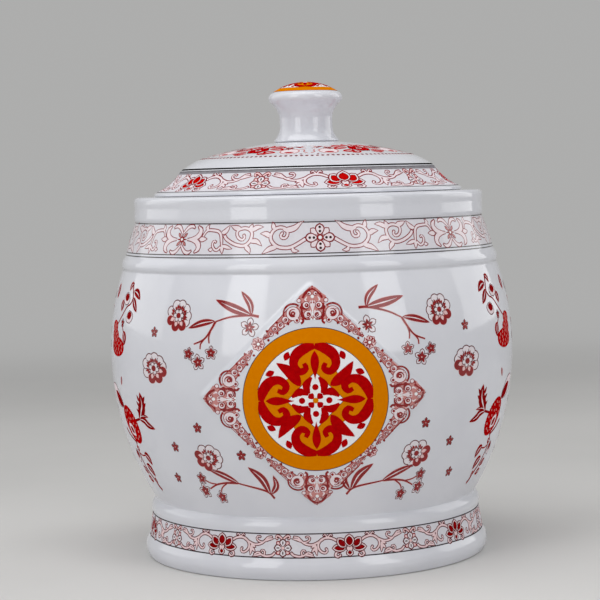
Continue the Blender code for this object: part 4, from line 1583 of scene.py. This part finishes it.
def sweep_paint():
    """Pale matt paint. Away from the jar it runs out, for what sees it, into the backdrop's plain tone."""
    codes = (0xCFCECC, 0xD4D3D1)
    material = fired("sweep_paint", codes, drift=300, roughness=(0.7, 0.8), ripple=4, ripple_depth=0.02)
    tree = material.node_tree
    place = tree.nodes.new("ShaderNodeTexCoord")
    reach = tree.nodes.new("ShaderNodeVectorMath")
    reach.operation = "LENGTH"
    tree.links.new(place.outputs["Object"], reach.inputs[0])
    fade = node_with(tree, "ShaderNodeMapRange", {"From Min": FADE_START, "From Max": FADE_END})
    fade.interpolation_type = "SMOOTHSTEP"
    tree.links.new(reach.outputs["Value"], fade.inputs["Value"])
    share = computed(tree, "MULTIPLY", fade.outputs["Result"], seen_ray(tree))
    plain = node_with(tree, "ShaderNodeEmission", {"Color": BACKDROP_COLOUR, "Strength": BACKDROP_LEVEL})
    surface = tree.nodes["Material Output"].inputs["Surface"]
    paint = tree.nodes["Principled BSDF"].outputs["BSDF"]
    blend_into(tree, surface, share, paint, plain.outputs["Emission"])
    return material


def make_floor():
    """A pale sweep: a floor that curves up into a backdrop."""
    half_width = 8.0
    front = -8.0
    back = 1.6
    bend = 0.6
    height = 3.0
    steps = 16
    run = [(front, 0.0)]
    for step in range(steps + 1):
        turn = math.pi / 2 * step / steps
        run.append((back + bend * math.sin(turn), bend * (1 - math.cos(turn))))
    run.append((back + bend, height))
    points = [(x, y, z) for y, z in run for x in (-half_width, half_width)]
    faces = [(2 * i, 2 * i + 1, 2 * i + 3, 2 * i + 2) for i in range(len(run) - 1)]
    new_object("sweep", points, faces, [sweep_paint()])


def area_light(name, width, height, power, place, turn):
    data = bpy.data.lights.new(name, "AREA")
    data.shape = "RECTANGLE"
    data.size = width
    data.size_y = height
    data.energy = power
    light = bpy.data.objects.new(name, data)
    light.location = place
    light.rotation_euler = turn
    bpy.context.scene.collection.objects.link(light)


def softbox(name, azimuth, distance, width, bottom, power):
    """An upright soft light that faces the jar's axis."""
    turn = math.radians(azimuth)
    place = (distance * math.sin(turn), -distance * math.cos(turn), (SOFTBOX_TOP + bottom) / 2)
    area_light(name, width, SOFTBOX_TOP - bottom, power, place, (math.pi / 2, 0.0, turn))


def make_lights():
    """The world's fill and plain backdrop, four upright lights and one overhead."""
    world = bpy.data.worlds.new("studio")
    world.use_nodes = True
    tree = world.node_tree
    fill = tree.nodes["Background"]
    fill.inputs["Color"].default_value = FILL_COLOUR
    fill.inputs["Strength"].default_value = FILL_LEVEL
    shown = node_with(tree, "ShaderNodeBackground", {"Color": BACKDROP_COLOUR, "Strength": BACKDROP_LEVEL})
    surface = tree.nodes["World Output"].inputs["Surface"]
    blend_into(tree, surface, seen_ray(tree), fill.outputs["Background"], shown.outputs["Background"])
    bpy.context.scene.world = world
    softbox("left_window", azimuth=-37.0, distance=1.5, width=0.62, bottom=0.12, power=8.2)
    softbox("right_window", azimuth=43.0, distance=1.5, width=0.58, bottom=0.12, power=6.9)
    softbox("left_side", azimuth=-108.0, distance=1.3, width=0.9, bottom=0.2, power=3.6)
    softbox("right_side", azimuth=112.0, distance=1.3, width=0.9, bottom=0.2, power=5.4)
    tilt = (math.radians(-12), math.radians(-8), 0.0)
    area_light("overhead", width=2.4, height=1.6, power=32.0, place=(-0.3, -0.5, 2.2), turn=tilt)


def main():
    """The whole scene, round the CAD."""
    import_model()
    bpy.context.scene.view_settings.view_transform = "Standard"
    pot = pot_section()
    lid = lid_section()
    knob = knob_section()
    seal = seal_section()
    pot_piece = make_pot(pot, [glaze("pot_glaze"), bisque("bare_foot")])
    lid_piece = evenly_turned("lid_glaze", lid, LID_ROW, LID_COLUMNS, [glaze("lid_glaze")])
    knob_piece = evenly_turned("knob_glaze", knob, KNOB_ROW, KNOB_COLUMNS, [glaze("knob_glaze")])
    seal_piece = evenly_turned("seal_rubber", seal, SEAL_ROW, LID_COLUMNS, [rubber("silicone")], closed=True)
    for piece, body, node, slot in (
        (pot_piece, "jar", "jar_body", "pot_porcelain"),
        (lid_piece, "lid", "lid_shell", "lid_porcelain"),
        (knob_piece, "lid", "lid_knob", "knob_porcelain"),
        (seal_piece, "seal", "seal_ring", "silicone"),
    ):
        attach(piece, body)
        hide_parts(node)
    decorate(pot, lid, knob, enamels("enamel", GLOSSY), enamels("dull_enamel", DULL))
    make_floor()
    make_lights()
    make_camera()


main()
